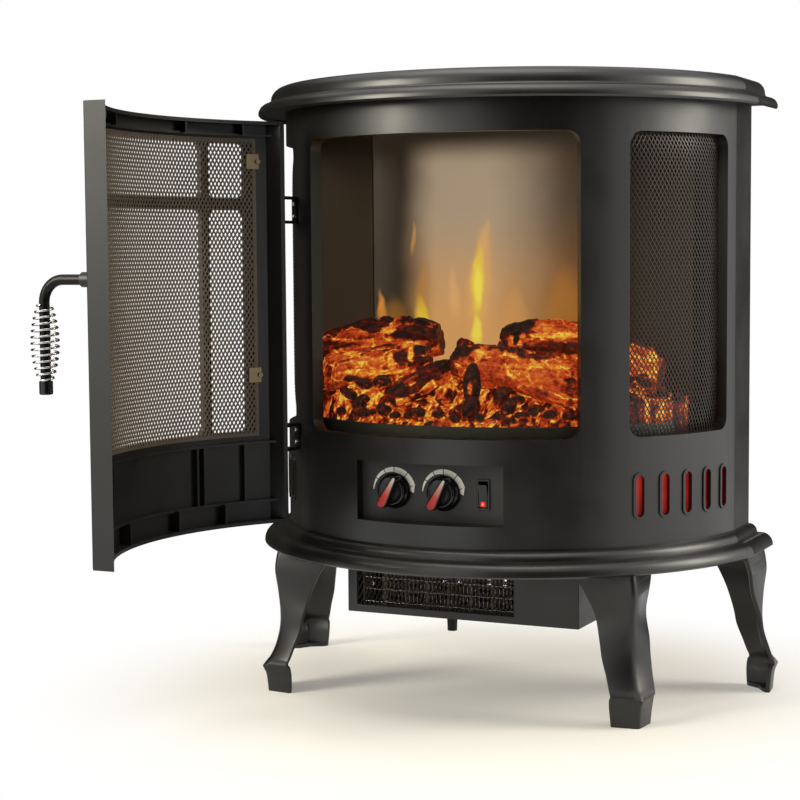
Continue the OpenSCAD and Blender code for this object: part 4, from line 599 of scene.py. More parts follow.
# start, end, radius, rise of the middle, seed, share of charcoal blocks, charcoal at start and
# end, block size
logs = {
    "log_left_back": ((-174, -46, 350), (-34, -22, 372), 23.5, 9.5, 1, 0.34, 0.0, 0.34, 24),
    "log_left_front": ((-160, -82, 331), (-30, -60, 358), 19.5, 2, 2, 0.10, 0.20, 0.16, 19),
    "log_centre": ((-52, -104, 314), (-8, -52, 345), 15, 2, 3, 0.55, 0.0, 0.25, 20),
    "log_right_upper": ((32, -14, 370), (196, 2, 338), 25, 13, 4, 0.28, 0.45, 0.0, 24),
    "log_right_lower": ((2, -62, 352), (150, -76, 326), 24, 4, 5, 0.06, 0.10, 0.12, 27),
    "log_stub": ((-16, -24, 345), (-8, -14, 370), 11, 0, 6, 1.0, 0.5, 0.5, 12),
}
logDetail = {
    "points": (128, 120),                   # along and around
    "stub": (12, 60),                       # a log thinner than this has this many points each way
    "caps": (0.12, 0.3, 0.5, 0.68, 0.84, 0.95),     # rings of the broken ends, as parts of the radius
    "taper": (0.74, 1.6),                   # part of the radius at the ends, and how fast it fills
    "bark": 0.14,                           # depth of the bark's flutes, as part of the radius
    "wander": (16, 4.0),                    # size and reach of the bends in the cracks
    "crackDepth": 2.6, "crackWidth": 2.8, "fullCrackAt": 21,
    "stretch": 1.5,                         # blocks are this much longer than wide
    "blocks": 1.5,                          # how closely they are packed
    "blockRise": (-0.9, 0.5),
    "small": (6, 0.6), "big": (20, 1.3), "fibre": (3.6, 0.8),   # size and height of the relief
    "crest": 1.4,                           # the relief stands out no more than this
    "brokenEnd": (2.5, 2.0),                # how far the ends are hollowed, and how unevenly
    "trimRadius": 232.6,
}
logTone = {
    "cold": 0.27, "hot": 0.52,
    "topChar": 0.22,                        # more of the blocks are charred along the top
    "drift": (0.14, 0.12, 0.05),            # by block, in broad patches and along the fibres
    "crackGlow": 0.30, "crackBase": 0.06, "underside": 0.10,
    "ends": (0.30, 0.25),
    "markDrift": (0.12, 0.08), "markRise": (0.9, -0.6),     # charred marks swell, glowing ones sink
}
# hand-painted places, as on the real resin: x, y, z, reach across and up, tone; the tone sets the resin's
# colour there and the painted glow
paintedMarks = {
    "log_left_back": (
        (-81, -51, 381, 9, 11, 0.80), (-46, -35, 393, 28, 5, 0.10), (-30, -37, 388, 10, 9, 0.10),
        (-20, -40, 374, 9, 22, 0.14), (-62, -50, 377, 22, 5, 0.16), (-142, -62, 366, 26, 5, 0.30),
        (-110, -56, 376, 26, 4, 0.52), (-156, -60, 346, 10, 5, 0.72),
    ),
    "log_left_front": (
        (-136, -78, 341, 14, 13, 0.17), (-138, -80, 338, 4, 4, 0.55), (-52, -83, 357, 9, 9, 0.20),
        (-34, -79, 363, 9, 9, 0.20), (-22, -72, 368, 7, 10, 0.18), (-89, -88, 350, 20, 7, 0.72),
        (-80, -88, 338, 40, 5, 0.80), (-43, -81, 360, 3, 12, 0.90), (-63, -85, 352, 3, 12, 0.86),
        (-26, -77, 364, 2.6, 13, 0.88), (-44, -78, 371, 18, 3, 0.78),
    ),
    "log_centre": (
        (-22, -86, 343, 16, 12, 0.24), (-6, -68, 350, 12, 10, 0.12), (-44, -104, 324, 12, 8, 0.16),
        (-40, -108, 311, 12, 6, 0.72),
    ),
    "log_right_upper": (
        (45, -32, 386, 12, 9, 0.08), (60, -28, 390, 12, 8, 0.08), (54, -36, 374, 4, 8, 0.10),
        (47, -37, 371, 4, 7, 0.66), (62, -36, 373, 3.5, 8, 0.70), (97, -31, 378, 30, 3.6, 0.90),
        (84, -30, 385, 14, 5, 0.70), (95, -33, 363, 40, 8, 0.26), (38, -34, 362, 8, 12, 0.14),
    ),
    "log_right_lower": (
        (41, -68, 374, 22, 5, 0.26), (66, -76, 369, 24, 5, 0.28), (99, -80, 362, 24, 4, 0.30),
        (50, -89, 355, 14, 10, 0.58), (97, -92, 350, 34, 3.4, 0.84), (104, -96, 338, 30, 12, 0.62),
        (138, -80, 330, 10, 16, 0.20), (20, -84, 350, 10, 8, 0.50), (2, -80, 338, 8, 12, 0.36),
    ),
}


def sinDeg(value):
    return np.sin(np.radians(value))


def stepUp(low, high, value):
    t = np.clip((value - low) / (high - low), 0, 1)
    return t * t * (3 - 2 * t)


fractal = {"shift": (7.3, 3.1, 5.7), "roughness": 0.9, "octaveStep": 2.0}


# Fractal relief with features of a size, the same each run for the same seed
def fractalAt(points, size, octaves=3, seed=0):
    shift = Vector([part * seed for part in fractal["shift"]])
    return np.array([noise.fractal(Vector(p) / size + shift, fractal["roughness"], fractal["octaveStep"],
                                   octaves) for p in points])


# Distance to the nearest crack between blocks, and the number of the block, for each point
def blocksOf(points, seeds):
    nearest = np.full(len(points), 1e9)
    second = np.full(len(points), 1e9)
    number = np.zeros(len(points), int)
    for k, seedPoint in enumerate(seeds):
        away = np.linalg.norm(points - seedPoint, axis=1)
        closer = away < nearest
        second = np.where(closer, nearest, np.minimum(second, away))
        number = np.where(closer, k, number)
        nearest = np.where(closer, away, nearest)
    return (second - nearest) / 2, number


# Keeps points inside a radius round the casing's axis
def trimTo(radius, points):
    offset = points[:, :2] - (0, stove["arcY"])
    squash = np.minimum(1, radius / np.linalg.norm(offset, axis=1))
    points[:, :2] = (0, stove["arcY"]) + offset * squash[:, None]


# Share of a log's bark flutes at an angle round it and a part t of its length
def barkAt(angle, t, seed):
    broad = sinDeg(angle * 5 + seed * 71 + 200 * t)
    narrow = sinDeg(angle * 9 - seed * 133 + 560 * t)
    return (1 + sinDeg(angle)) / 2 * (0.5 + 0.3 * broad + 0.2 * narrow)


def sculptLog(name, material):
    start, end, radius, rise, seed, charcoal, coldStart, coldEnd, blockSize = logs[name]
    start, end = np.array(start, float), np.array(end, float)
    rng = np.random.default_rng(seed)
    length = np.linalg.norm(end - start)
    along = (end - start) / length
    across = np.cross((0, 0, 1), along)
    across /= np.linalg.norm(across)
    up = np.cross(along, across)
    steps, spokes = logDetail["points"]
    if radius < logDetail["stub"][0]:
        steps = spokes = logDetail["stub"][1]
    caps = logDetail["caps"]

    def middleAt(t):
        return start + np.outer(t, end - start) + np.outer(np.sin(np.pi * t) * rise, (0, 0, 1))

    # rows: cap rings at the start, the barrel, cap rings at the end
    tRow = np.concatenate((np.zeros(len(caps)), np.linspace(0, 1, steps + 1), np.ones(len(caps))))
    shareRow = np.concatenate((caps, np.ones(steps + 1), caps[::-1]))
    t, angle = np.repeat(tRow, spokes), np.tile(np.arange(spokes) * 360 / spokes, len(tRow))
    share = np.repeat(shareRow, spokes)
    spoke = np.outer(np.cos(np.radians(angle)), across) + np.outer(np.sin(np.radians(angle)), up)
    least, fill = logDetail["taper"]
    full = radius * np.minimum(1, least + fill * np.minimum(t, 1 - t))
    full = full * (1 - logDetail["bark"] * barkAt(angle, t, seed))
    middle = middleAt(t)
    base = middle + spoke * (full * share)[:, None]

    # charred blocks, found in a space squeezed along the log so that they come out long
    shorter = 1 / logDetail["stretch"] - 1
    squeeze = np.outer(base @ along, along) * shorter
    size, reach = logDetail["wander"]
    wander = np.stack([fractalAt(base, size, 2, seed + i) for i in range(3)], 1) * reach
    area = 2 * np.pi * radius * length / logDetail["stretch"]
    count = max(8, int(area / blockSize ** 2 * logDetail["blocks"]))
    seeds = []
    for _ in range(count):
        st, sa = rng.uniform(-0.03, 1.03), math.radians(rng.uniform(0, 360))
        p = middleAt(np.array([st]))[0] + radius * 0.95 * (math.cos(sa) * across + math.sin(sa) * up)
        seeds.append(p + along * (p @ along) * shorter)
    crack, number = blocksOf(base + squeeze + wander, seeds)
    blockTone = rng.uniform(0, 1, count)[number]
    blockRise = rng.uniform(*logDetail["blockRise"], count)[number]

    (smallSize, smallRise), (bigSize, bigRise) = logDetail["small"], logDetail["big"]
    fibreSize, fibreRise = logDetail["fibre"]
    small = fractalAt(base, smallSize, 3, seed)
    big = fractalAt(base + squeeze * 0.8, bigSize, 3, seed + 9)
    fibre = fractalAt(base + squeeze * 2.4, fibreSize, 2, seed + 4)       # bark grain along the log
    openness = 1 - stepUp(0.2, logDetail["crackWidth"], crack)
    depth = -logDetail["crackDepth"] * radius / logDetail["fullCrackAt"] * openness + blockRise - 0.5
    depth = depth + small * smallRise + big * bigRise + fibre * fibreRise

    upward = np.clip(spoke[:, 2], -1, 1)
    char = charcoal + logTone["topChar"] * stepUp(0.45, 1.0, upward)
    char = char + coldStart * (1 - stepUp(0.0, 0.26, t)) + coldEnd * stepUp(0.8, 1.0, t)
    hot = stepUp(-0.12, 0.14, blockTone + big * 0.5 - char)
    byBlock, byPatch, byFibre = logTone["drift"]
    heat = logTone["cold"] + (logTone["hot"] - logTone["cold"]) * hot
    heat = heat + byBlock * (blockTone - 0.5) + byPatch * big + byFibre * fibre
    rim = 1 - stepUp(0.0, 1.3, crack)
    heat = heat + rim * (logTone["crackGlow"] * stepUp(0.2, 0.7, hot + 0.35 * small) + logTone["crackBase"])
    # painted shade: the glow is lowered on the log's underside
    heat = heat - logTone["underside"] * stepUp(0.2, 1.0, -upward)
    byFibre, bySpeck = logTone["markDrift"]
    swell, sink = logTone["markRise"]
    for x, y, z, reachX, reachZ, tone in paintedMarks.get(name, ()):
        reach = np.array((reachX, max(reachX, reachZ, 12), reachZ))
        off = np.linalg.norm((base - (x, y, z)) / reach, axis=1)
        near = 1 - stepUp(0.75, 1.15, off + 0.35 * small)
        heat = heat * (1 - near) + near * (tone + byFibre * fibre + bySpeck * small)
        depth = depth + near * (swell if tone < 0.3 else sink)
    tone, drift = logTone["ends"]
    heat = np.where(share < 0.97, np.minimum(heat, tone + drift * small), heat)

    verts = middle + spoke * ((full + np.minimum(depth, logDetail["crest"])) * share)[:, None]
    hollow, uneven = logDetail["brokenEnd"]
    verts = verts + np.outer((1 - share) * (hollow + uneven * small) * np.where(t < 0.5, 1, -1), along)
    trimTo(logDetail["trimRadius"], verts)
    piece = addPiece(name + "_cast", verts / 1000, skinRings([range(spokes)] * len(tRow)), material, "casing",
                     (name,), 75)
    # the same streaks run down both sides of the log; each log has its own part of the pattern
    girth = np.radians(np.minimum(angle, 360 - angle)) * radius
    grain = np.stack((t * length * 0.16, girth, share * radius * 0.3), 1) / 1000 + seed * 0.31
    addPointValues(piece, {"ember": np.clip(heat, 0, 1)}, grain)


bed = {
    "step": 1.9, "rows": 84, "crowd": 1.15,     # spacing across, rows to the back, closer at the front
    "front": 228.6, "inset": 0.4, "sideGap": 0.6,       # radius of the front, and the room round it
    "low": 276.3, "plain": 290.0, "above": 600,         # underside, and where the top is looked for
    "lumps": 1500, "lumpsY": (-125, 42), "seed": 11,
    "dome": 3.4, "lift": 1.8,                   # how far a lump is rounded, and how unevenly they lie
    "small": (3.6, 1.3), "big": (26, 1.6), "wander": (9, 2.6),      # size and height or reach
    "edge": 6, "sunkFront": 1.5,                # the relief dies out towards the sides
    "cold": 0.24, "hot": 0.30, "drift": (0.14, 0.12), "crackGlow": (0.10, 0.26), "skirtTone": 0.12,
}


def cadTree(name):
    mesh = cad[name].data
    mesh.calc_loop_triangles()
    corners = [tuple(v.co) for v in mesh.vertices]
    return BVHTree.FromPolygons(corners, [tuple(t.vertices) for t in mesh.loop_triangles])


# Bed of embers: the CAD bed's own top, worked up into broken glowing lumps
def sculptBed(material):
    tree = cadTree("ember_bed")
    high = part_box("ember_bed")[1]
    halfX = high.x * 1000 - bed["sideGap"]
    columns = int(2 * halfX / bed["step"])
    rows, inset = bed["rows"], bed["inset"]
    rng = np.random.default_rng(bed["seed"])
    grid = []
    for j in range(rows + 1):
        for x in np.linspace(-halfX, halfX, columns + 1):
            front = stove["arcY"] - math.sqrt(bed["front"] ** 2 - x * x) + inset
            y = front + (high.y * 1000 - inset - front) * (j / rows) ** bed["crowd"]
            above = Vector((x / 1000, y / 1000, bed["above"] / 1000))
            hit = tree.ray_cast(above, Vector((0, 0, -1)))[0]
            grid.append((x, y, hit.z * 1000 if hit else bed["plain"]))
    base = np.array(grid)
    lumps = bed["lumps"]
    lumpX, lumpY = rng.uniform(-halfX, halfX, lumps), rng.uniform(*bed["lumpsY"], lumps)
    seeds = np.stack((lumpX, lumpY, np.zeros(lumps)), 1)
    size, reach = bed["wander"]
    wander = np.stack([fractalAt(base, size, 2, 3), fractalAt(base, size, 2, 8), base[:, 0] * 0], 1) * reach
    crack, number = blocksOf(base * (1, 1, 0) + wander, seeds)
    tone = rng.uniform(0, 1, lumps)[number]
    lift = rng.uniform(-0.6, 1.0, lumps)[number]
    dome = stepUp(0.1, 2.6, crack)
    (smallSize, smallRise), (bigSize, bigRise) = bed["small"], bed["big"]
    small = fractalAt(base, smallSize, 3, 5)
    big = fractalAt(base, bigSize, 2, 6)
    edge = np.minimum(1, np.minimum(halfX - abs(base[:, 0]), bed["edge"]) / bed["edge"])
    rise = bed["dome"] * (dome - 0.5) + bed["lift"] * lift * dome + small * smallRise + big * bigRise
    verts = base.copy()
    verts[:, 2] += np.where(np.arange(len(verts)) < columns + 1, -bed["sunkFront"], rise * edge)

    # the lumps nearest the pane are charred more often
    behindPane = verts[:, 1] - stove["arcY"] + np.sqrt(bed["front"] ** 2 - verts[:, 0] ** 2)
    hot = stepUp(-0.10, 0.16, tone + 0.45 * big - (0.30 + 0.20 * (1 - stepUp(0, 14, behindPane))))
    byLump, bySpeck = bed["drift"]
    dark, bright = bed["crackGlow"]
    heat = bed["cold"] + bed["hot"] * hot + byLump * (tone - 0.5) + bySpeck * small
    heat = heat + (1 - stepUp(0, 1.3, crack)) * (dark + bright * hot)
    n = columns + 1
    faces = [(j * n + i, j * n + i + 1, (j + 1) * n + i + 1, (j + 1) * n + i)
             for j in range(rows) for i in range(columns)]
    rim = list(range(n)) + [j * n + n - 1 for j in range(1, rows + 1)]
    rim += [rows * n + i for i in range(n - 2, -1, -1)] + [j * n for j in range(rows - 1, 0, -1)]
    skirt = verts[rim].copy()
    skirt[:, 2] = bed["low"]
    start, around = len(verts), len(rim)
    verts = np.concatenate((verts, skirt))
    heat = np.concatenate((heat, np.full(around, bed["skirtTone"])))
    faces += [(rim[q], start + q, start + (q + 1) % around, rim[(q + 1) % around]) for q in range(around)]
    faces.append(tuple(start + q for q in range(around - 1, -1, -1)))
    piece = addPiece("ember_bed_cast", verts / 1000, faces, material, "casing", ("ember_bed",),
                     75)
    addPointValues(piece, {"ember": np.clip(heat, 0, 1)}, verts / 1000)


# radii, heights, and degrees to either side
trayLip = {"inner": 229.2, "outer": 231.2, "low": 276.4, "high": 290.4, "reach": 64.0, "steps": 96}


# Satin lip of the tray that the embers lie in, just inside the pane
def bendTrayLip(material):
    inner, outer, low, high = (trayLip[key] for key in ("inner", "outer", "low", "high"))
    section = [(inner, low), (outer, low), (outer, high - 0.8), (outer - 0.5, high), (inner + 0.4, high),
               (inner, high - 0.6)]
    reach, steps = trayLip["reach"], trayLip["steps"]
    rings = [[onArc(-reach + 2 * reach * i / steps, r, z) for r, z in section] for i in range(steps + 1)]
    verts = [p for ring in rings for p in ring]
    addPiece("ember_tray_lip", verts, skinRings(rings), material, "casing", (), 40)


coals = {
    # x, y, z, half sizes across, deep and up, lean in degrees; the first nine stand for the solids
    "placed": (
        (-92, -96, 306, 8, 8, 7, 0), (-60, -107, 303, 8, 8, 7, 10), (-20, -110, 302, 8, 7, 6, 0),
        (34, -106, 306, 9, 9, 14, 24), (72, -99, 309, 7, 8, 12, 30), (97, -98, 305, 6, 6, 5, 0),
        (-192, 2, 318, 12, 11, 10, 0), (168, -38, 316, 10, 9, 9, 0), (208, 24, 312, 8, 8, 7, 0),
        (31, -92, 330, 9.5, 7, 21, 4), (62, -92, 318, 8, 7, 13, 34), (-92, -86, 328, 9, 8, 6, 12),
        (-72, -84, 330, 11, 8, 7, -8), (-109, -86, 317, 11, 8, 5, 30), (-90, -92, 313, 7, 7, 5, 0),
        (78, -86, 316, 6, 6, 5, 0), (-118, -90, 299, 8, 6, 5, 0), (-74, -104, 300, 5, 5, 4, 0),
        (4, -113, 301, 6, 6, 5, 0), (22, -117, 298, 6, 5, 5, 20), (-30, -114, 299, 5, 5, 4, 0),
        (47, -114, 299, 6, 6, 5, 0), (88, -101, 302, 8, 6, 4, 0), (-84, -103, 299, 6, 5, 6, 0),
        (-45, -112, 299, 6, 5, 4, 0), (68, -109, 300, 5, 5, 4, 0), (112, -90, 302, 8, 6, 5, 0),
        (130, -84, 300, 7, 6, 5, 0), (176, -36, 316, 10, 8, 6, 0), (196, 4, 318, 8, 8, 6, 0),
    ),
    "seed": 21, "trimRadius": 229.0, "breaks": 14, "pitted": (0.45, 0.15),
    "size": (0.84, 0.76, 1.05),             # plain size, sharpest corner and farthest reach
    "tone": (0.16, 0.32, 0.22),             # charred, lit from below, and speckle
    "split": 9, "splitTone": (0.14, 0.44),  # this one glows along its broken face
}


def sculptCoals(material):
    rng = np.random.default_rng(coals["seed"])
    dark, under, speckle = coals["tone"]
    plain, corner, farthest = coals["size"]
    pitSize, pitDepth = coals["pitted"]
    verts, faces, heat = [], [], []
    for number, (x, y, z, halfX, halfY, halfZ, lean) in enumerate(coals["placed"]):
        shape = bmesh.new()
        bmesh.ops.create_icosphere(shape, subdivisions=4, radius=1)
        points = np.array([v.co for v in shape.verts])
        start = len(verts)
        faces += [tuple(start + v.index for v in f.verts) for f in shape.faces]
        shape.free()
        breaks = rng.normal(size=(coals["breaks"], 3))
        breaks /= np.linalg.norm(breaks, axis=1)[:, None]
        reach = np.max(points @ breaks.T, axis=1)                         # flat broken faces
        skin = fractalAt(points, pitSize, 4, number)
        body = plain / np.maximum(reach, corner) * (1 + pitDepth * skin)
        across, deep, up = (points * np.minimum(body, farthest)[:, None] * (halfX, halfY, halfZ)).T
        a = math.radians(lean)
        placed = np.stack((across * math.cos(a) + up * math.sin(a), deep,
                           up * math.cos(a) - across * math.sin(a)), 1) + (x, y, z)
        trimTo(coals["trimRadius"], placed)
        verts += [tuple(p) for p in placed]
        lit = stepUp(0.2, 0.95, -points[:, 2] + 0.30 * skin)
        heat += list(dark + under * lit + speckle * skin)
        if number == coals["split"]:
            least, most = coals["splitTone"]
            off = np.hypot(points[:, 0] * 1.2, points[:, 2] + 0.2)
            heat[-len(points):] = least + most * (1 - stepUp(0.25, 0.55, off))
    verts = np.array(verts) / 1000
    piece = addPiece("coals_cast", verts, faces, material, "casing", ("coals",), 40)
    addPointValues(piece, {"ember": np.clip(heat, 0, 1)}, verts)


sheets = {
    # length round or along, lower and upper edge, diamond width and height, strand, rim, thickness
    "side": (147.7, 275.6, 581.8, 4.7, 7.7, 1.05, 3.2, 0.42),
    "door": (309.2, 275.6, 576.8, 4.7, 7.7, 1.42, 3.2, 0.95),
    "guard": (186.4, 87.3, 143.7, 4.9, 9.4, 0.85, 4.6, 0.42),
}
sheetPlaces = {"sideRadius": 237.7, "sideFrom": 45.8, "doorRadius": 267.6, "doorFrom": -34.1,
               "guardFrom": -122.4, "guardFace": -52.4}
sheetBuild = {"twist": 0.26, "inset": 0.30, "crown": 6.5}
rimBuild = {"overlap": 0.6, "faces": (-0.05, -1.1), "steps": (40, 8)}     # steps along and up


# Corner points of the rim's outline, e in from the sheet's edge
def rimRow(length, z0, z1, e):
    long, tall = rimBuild["steps"]
    row = [(e + (length - 2 * e) * i / long, z0 + e) for i in range(long + 1)]
    row += [(length - e, z0 + e + (z1 - z0 - 2 * e) * i / tall) for i in range(1, tall + 1)]
    row += [(length - e - (length - 2 * e) * i / long, z1 - e) for i in range(1, long + 1)]
    return row + [(e, z1 - e - (z1 - z0 - 2 * e) * i / tall) for i in range(1, tall)]


# Expanded metal: a lattice of slanted strands round diamond holes, with a plain rim.
# place(u, z, out) gives the point at u along the sheet, z up and out of its face.
def expandedSheet(name, spec, place, material, body, replaces, mirror=False):
    length, z0, z1, cellW, cellH, strand, rim, thick = spec
    columns, rows = int((length - 2 * rim) / cellW), int((z1 - z0 - 2 * rim) / cellH)
    w, h = (length - 2 * rim) / columns, (z1 - z0 - 2 * rim) / rows
    slope = math.atan2(h, w)
    halfW = w / 2 - strand / 2 / math.sin(slope)
    halfH = h / 2 - strand / 2 / math.cos(slope)
    verts, faces, index = [], [], {}
    twist, inset = sheetBuild["twist"], sheetBuild["inset"]
    corners = ((halfW, 0, 0), (0, halfH, -1), (-halfW, 0, 0), (0, -halfH, 1))
    for a in range(2 * columns + 1):
        for b in range(a % 2, 2 * rows + 1, 2):
            u, z = rim + a * w / 2, z0 + rim + b * h / 2
            index[a, b] = len(verts)
            for depth in (inset, inset + thick):
                verts += [place(u + du, z + dz, lean * twist - depth) for du, dz, lean in corners]

    def addBothFaces(*p):
        faces.extend((p, tuple(v + 4 for v in reversed(p))))

    for (a, b), k in index.items():
        for j in range(4):                                                # walls of the hole
            n = (j + 1) % 4
            faces.append((k + j, k + n, k + 4 + n, k + 4 + j))
        across, up, down, back = (a + 2, b), (a + 1, b + 1), (a + 1, b - 1), (a - 1, b + 1)
        if up in index:
            addBothFaces(k, index[up] + 3, index[up] + 2, k + 1)
        if back in index:
            addBothFaces(k + 1, index[back], index[back] + 3, k + 2)
        if across in index and up in index and down in index:             # bond between four holes
            addBothFaces(k, index[down] + 1, index[across] + 2, index[up] + 3)
    ring = [rimRow(length, z0, z1, e) for e in (0.0, rim + rimBuild["overlap"])]
    n = len(ring[0])
    a0 = len(verts)
    a1, b0, b1 = a0 + n, a0 + 2 * n, a0 + 3 * n
    for out in rimBuild["faces"]:
        for row in ring:
            verts += [place(u, z, out) for u, z in row]
    for q in range(n):
        t = (q + 1) % n
        faces += [(a0 + q, a0 + t, a1 + t, a1 + q), (b0 + t, b0 + q, b1 + q, b1 + t),
                  (a1 + q, a1 + t, b1 + t, b1 + q), (a0 + t, a0 + q, b0 + q, b0 + t)]
    points = np.array(verts)
    if mirror:
        points[:, 0] *= -1
        faces = [tuple(reversed(f)) for f in faces]
    addPiece(name, points, faces, material, body, replaces, 20)


# The side sheets are sprung outwards a little between their fixed edges
def sidePlace(u, z, out):
    length, z0, z1 = sheets["side"][:3]
    acrossPart, upPart = 2 * u / length - 1, 2 * (z - z0) / (z1 - z0) - 1
    crown = sheetBuild["crown"] * max(0, 1 - acrossPart ** 4) * max(0, 1 - upPart ** 10)
    phi = sheetPlaces["sideFrom"] + math.degrees(u / sheetPlaces["sideRadius"])
    return onArc(phi, sheetPlaces["sideRadius"] + crown + out, z)


def doorPlace(u, z, out):
    phi = sheetPlaces["doorFrom"] + math.degrees(u / sheetPlaces["doorRadius"])
    return tuple(doorMatrix() @ Vector(onArc(phi, sheetPlaces["doorRadius"] + out, z)))


def guardPlace(u, z, out):
    return ((sheetPlaces["guardFrom"] + u) / 1000, (sheetPlaces["guardFace"] - out) / 1000, z / 1000)


# Round wire along a path of points in mm; adds to the lists
def sweepWire(verts, faces, path, radius, sides):
    path = np.array(path, float)
    ahead = np.gradient(path, axis=0)
    ahead /= np.linalg.norm(ahead, axis=1)[:, None]
    side = np.cross(ahead[0], (0.3, 1.0, 0.2))
    rings = []
    for point, way in zip(path, ahead):
        side = side - way * (side @ way)
        side /= np.linalg.norm(side)
        other = np.cross(way, side)
        rings.append([point + radius * (math.cos(b) * side + math.sin(b) * other)
                      for b in (2 * math.pi * j / sides for j in range(sides))])
    faces += skinRings(rings, len(verts))
    verts += [tuple(p / 1000) for ring in rings for p in ring]


spring = {
    "phi": 33.3, "doorRadius": 272.0, "reach": 45.0,    # where the rod leaves the door, and how far out
    "top": 419.0, "length": 69.0,
    "mid": 26.0, "end": 13.8, "belly": 0.8,             # widths, and how full the barrel is
    "wire": 2.0, "turns": 12, "stepsPerTurn": 40, "sides": 10,
}


# Barrel-shaped spring grip, wound round the handle's rod
def windSpring(material):
    a = math.radians(spring["phi"])
    x = spring["doorRadius"] * math.sin(a)
    y = stove["arcY"] - spring["doorRadius"] * math.cos(a) - spring["reach"]
    wire = spring["wire"] / 2
    total = spring["turns"] * spring["stepsPerTurn"]
    path = []
    for k in range(total + 1):
        t = k / total
        z = spring["top"] - spring["length"] + wire + (spring["length"] - 2 * wire) * t
        bulge = math.sin(math.pi * t) ** spring["belly"]
        mean = spring["end"] + (spring["mid"] - spring["end"]) * bulge - spring["wire"]
        angle = 2 * math.pi * k / spring["stepsPerTurn"]
        path.append((x + mean / 2 * math.cos(angle), y + mean / 2 * math.sin(angle), z))
    verts, faces = [], []
    sweepWire(verts, faces, path, wire, spring["sides"])
    place = doorMatrix()
    verts = [tuple(place @ Vector(p)) for p in verts]
    addPiece("spring_grip", verts, faces, material, "door", ("handle_spring",), 60)


# Printed scales: a band that widens to the right, cut by ticks, with an arrow head at its end
dial = {
    "centres": (-44.0, 10.0), "height": 223.9, "face": -118.0, "ink": 0.09, "under": 0.02,
    "thinFrom": 22.0, "inward": 5.9, "outer": 22.7, "outward": 1.5, "widen": 0.8, "from": 179.0, "to": 15.0,
    "ticks": (148.0, 118.0, 89.0, 50.0), "tickGap": 0.9, "tickRadius": 21, "steps": 12,
    "arrow": ((17.0, 24.6), (-4.6, 22.0), (6.5, 15.6)),     # degrees and radius of its corners
}


def printDials(material):
    verts, faces = [], []

    def put(x, angle, radius):
        a = math.radians(angle)
        for lift in (dial["ink"], dial["under"]):
            verts.append(((x + radius * math.cos(a)) / 1000, (dial["face"] - lift) / 1000,
                          (dial["height"] + radius * math.sin(a)) / 1000))
        return len(verts) - 2

    def bandAt(angle):
        t = (dial["from"] - angle) / (dial["from"] - dial["to"])
        return dial["thinFrom"] - dial["inward"] * t ** dial["widen"], dial["outer"] + dial["outward"] * t

    marks = [dial["from"], *dial["ticks"], dial["to"]]
    half = math.degrees(dial["tickGap"] / 2 / dial["tickRadius"])
    steps = dial["steps"]
    for x in dial["centres"]:
        for number, (first, last) in enumerate(zip(marks, marks[1:])):
            first -= half if number else 0
            last += half if number < len(marks) - 2 else 0
            pairs = []
            for i in range(steps + 1):
                angle = first + (last - first) * i / steps
                low, high = bandAt(angle)
                pairs.append((put(x, angle, low), put(x, angle, high)))
            for (p, q), (r, s) in zip(pairs, pairs[1:]):
                faces += [(p, q, s, r), (p, r, r + 1, p + 1), (q + 1, s + 1, s, q)]
        faces.append(tuple(put(x, angle, radius) for angle, radius in dial["arrow"]))
    addPiece("dial_print", verts, faces, material, "casing", (), 60)


# Screen-printed white ink: flat and chalky, very slightly uneven
def makePrintInk():
    material, tree, shader = startMaterial("whitePrintInk", "#f0f1ee", 0.55)
    addTooth(tree, shader, 1.0, 0.004)
    finishes["whitePrintInk"] = material


knobs = {
    "knob_flame": (-43.0, "flame_knob"), "knob_heat": (11.0, "heat_knob"),
    "seat": -119.0, "height": 223.9, "turn": 29.0, "facets": 72,
    # radius and height above the panel, from the rim to the middle
    "skirt": ((15.6, 0.0), (17.7, 0.05), (18.0, 0.4), (18.0, 2.0), (17.7, 2.5), (17.2, 3.6), (16.3, 4.9),
              (15.2, 5.7), (14.95, 6.6), (14.7, 7.8), (13.9, 8.8), (12.9, 9.3), (12.2, 9.3), (11.6, 8.9),
              (8.0, 8.7), (2.0, 8.7)),
    # width at the two ends, reach from the middle, and rings of inset and height
    "bar": (12.0, 6.5, 17.6, ((0.0, 4.0), (0.35, 15.6), (0.7, 16.9), (1.3, 17.7), (1.9, 18.0), (2.8, 18.0))),
    "insert": (8.2, 2.8, 16.7, ((0.0, 16.6), (0.0, 18.1), (0.25, 18.35), (0.8, 18.5))),
    "arcSteps": (10, 18), "leastRound": (0.2, 0.12),        # at the wide end and at the tip
    # the insert's red fades towards the end that points
    "fade": ((0.05, "#b3130f"), (0.40, "#c4382f"), (0.72, "#cf948c"), (0.95, "#d9d3ce")),
}


# Acrylic insert of the knobs: glossy, red at the wide end and nearly white at the tip
def makePointerAcrylic():
    material, tree, shader = startMaterial("redAcrylicInsert", "#b8281c", 0.28)
    addTooth(tree, shader, 1.5, 0.003, 0.03)
    toTip = addNode(tree, "Attribute", attribute_name="toTip").outputs["Fac"]
    fade = addNode(tree, "ValToRGB", {0: toTip}, knobs["fade"])
    tree.links.new(fade.outputs[0], shader.inputs["Base Color"])
    finishes["redAcrylicInsert"] = material


# Outline of grip and insert: wide and round at one end, narrow at the end that points
def tearOutline(wide, tip, reach, inset):
    low, high = wide / 2 - reach, reach - tip / 2
    bigLeast, smallLeast = knobs["leastRound"]
    big, small = max(wide / 2 - inset, bigLeast), max(tip / 2 - inset, smallLeast)
    lean = math.asin((big - small) / (high - low))
    few, many = knobs["arcSteps"]
    end = [(small, high, lean + (math.pi - 2 * lean) * i / few) for i in range(few + 1)]
    end += [(big, low, math.pi - lean + (math.pi + 2 * lean) * i / many) for i in range(many + 1)]
    return [(r * math.cos(a), c + r * math.sin(a)) for r, c, a in end]


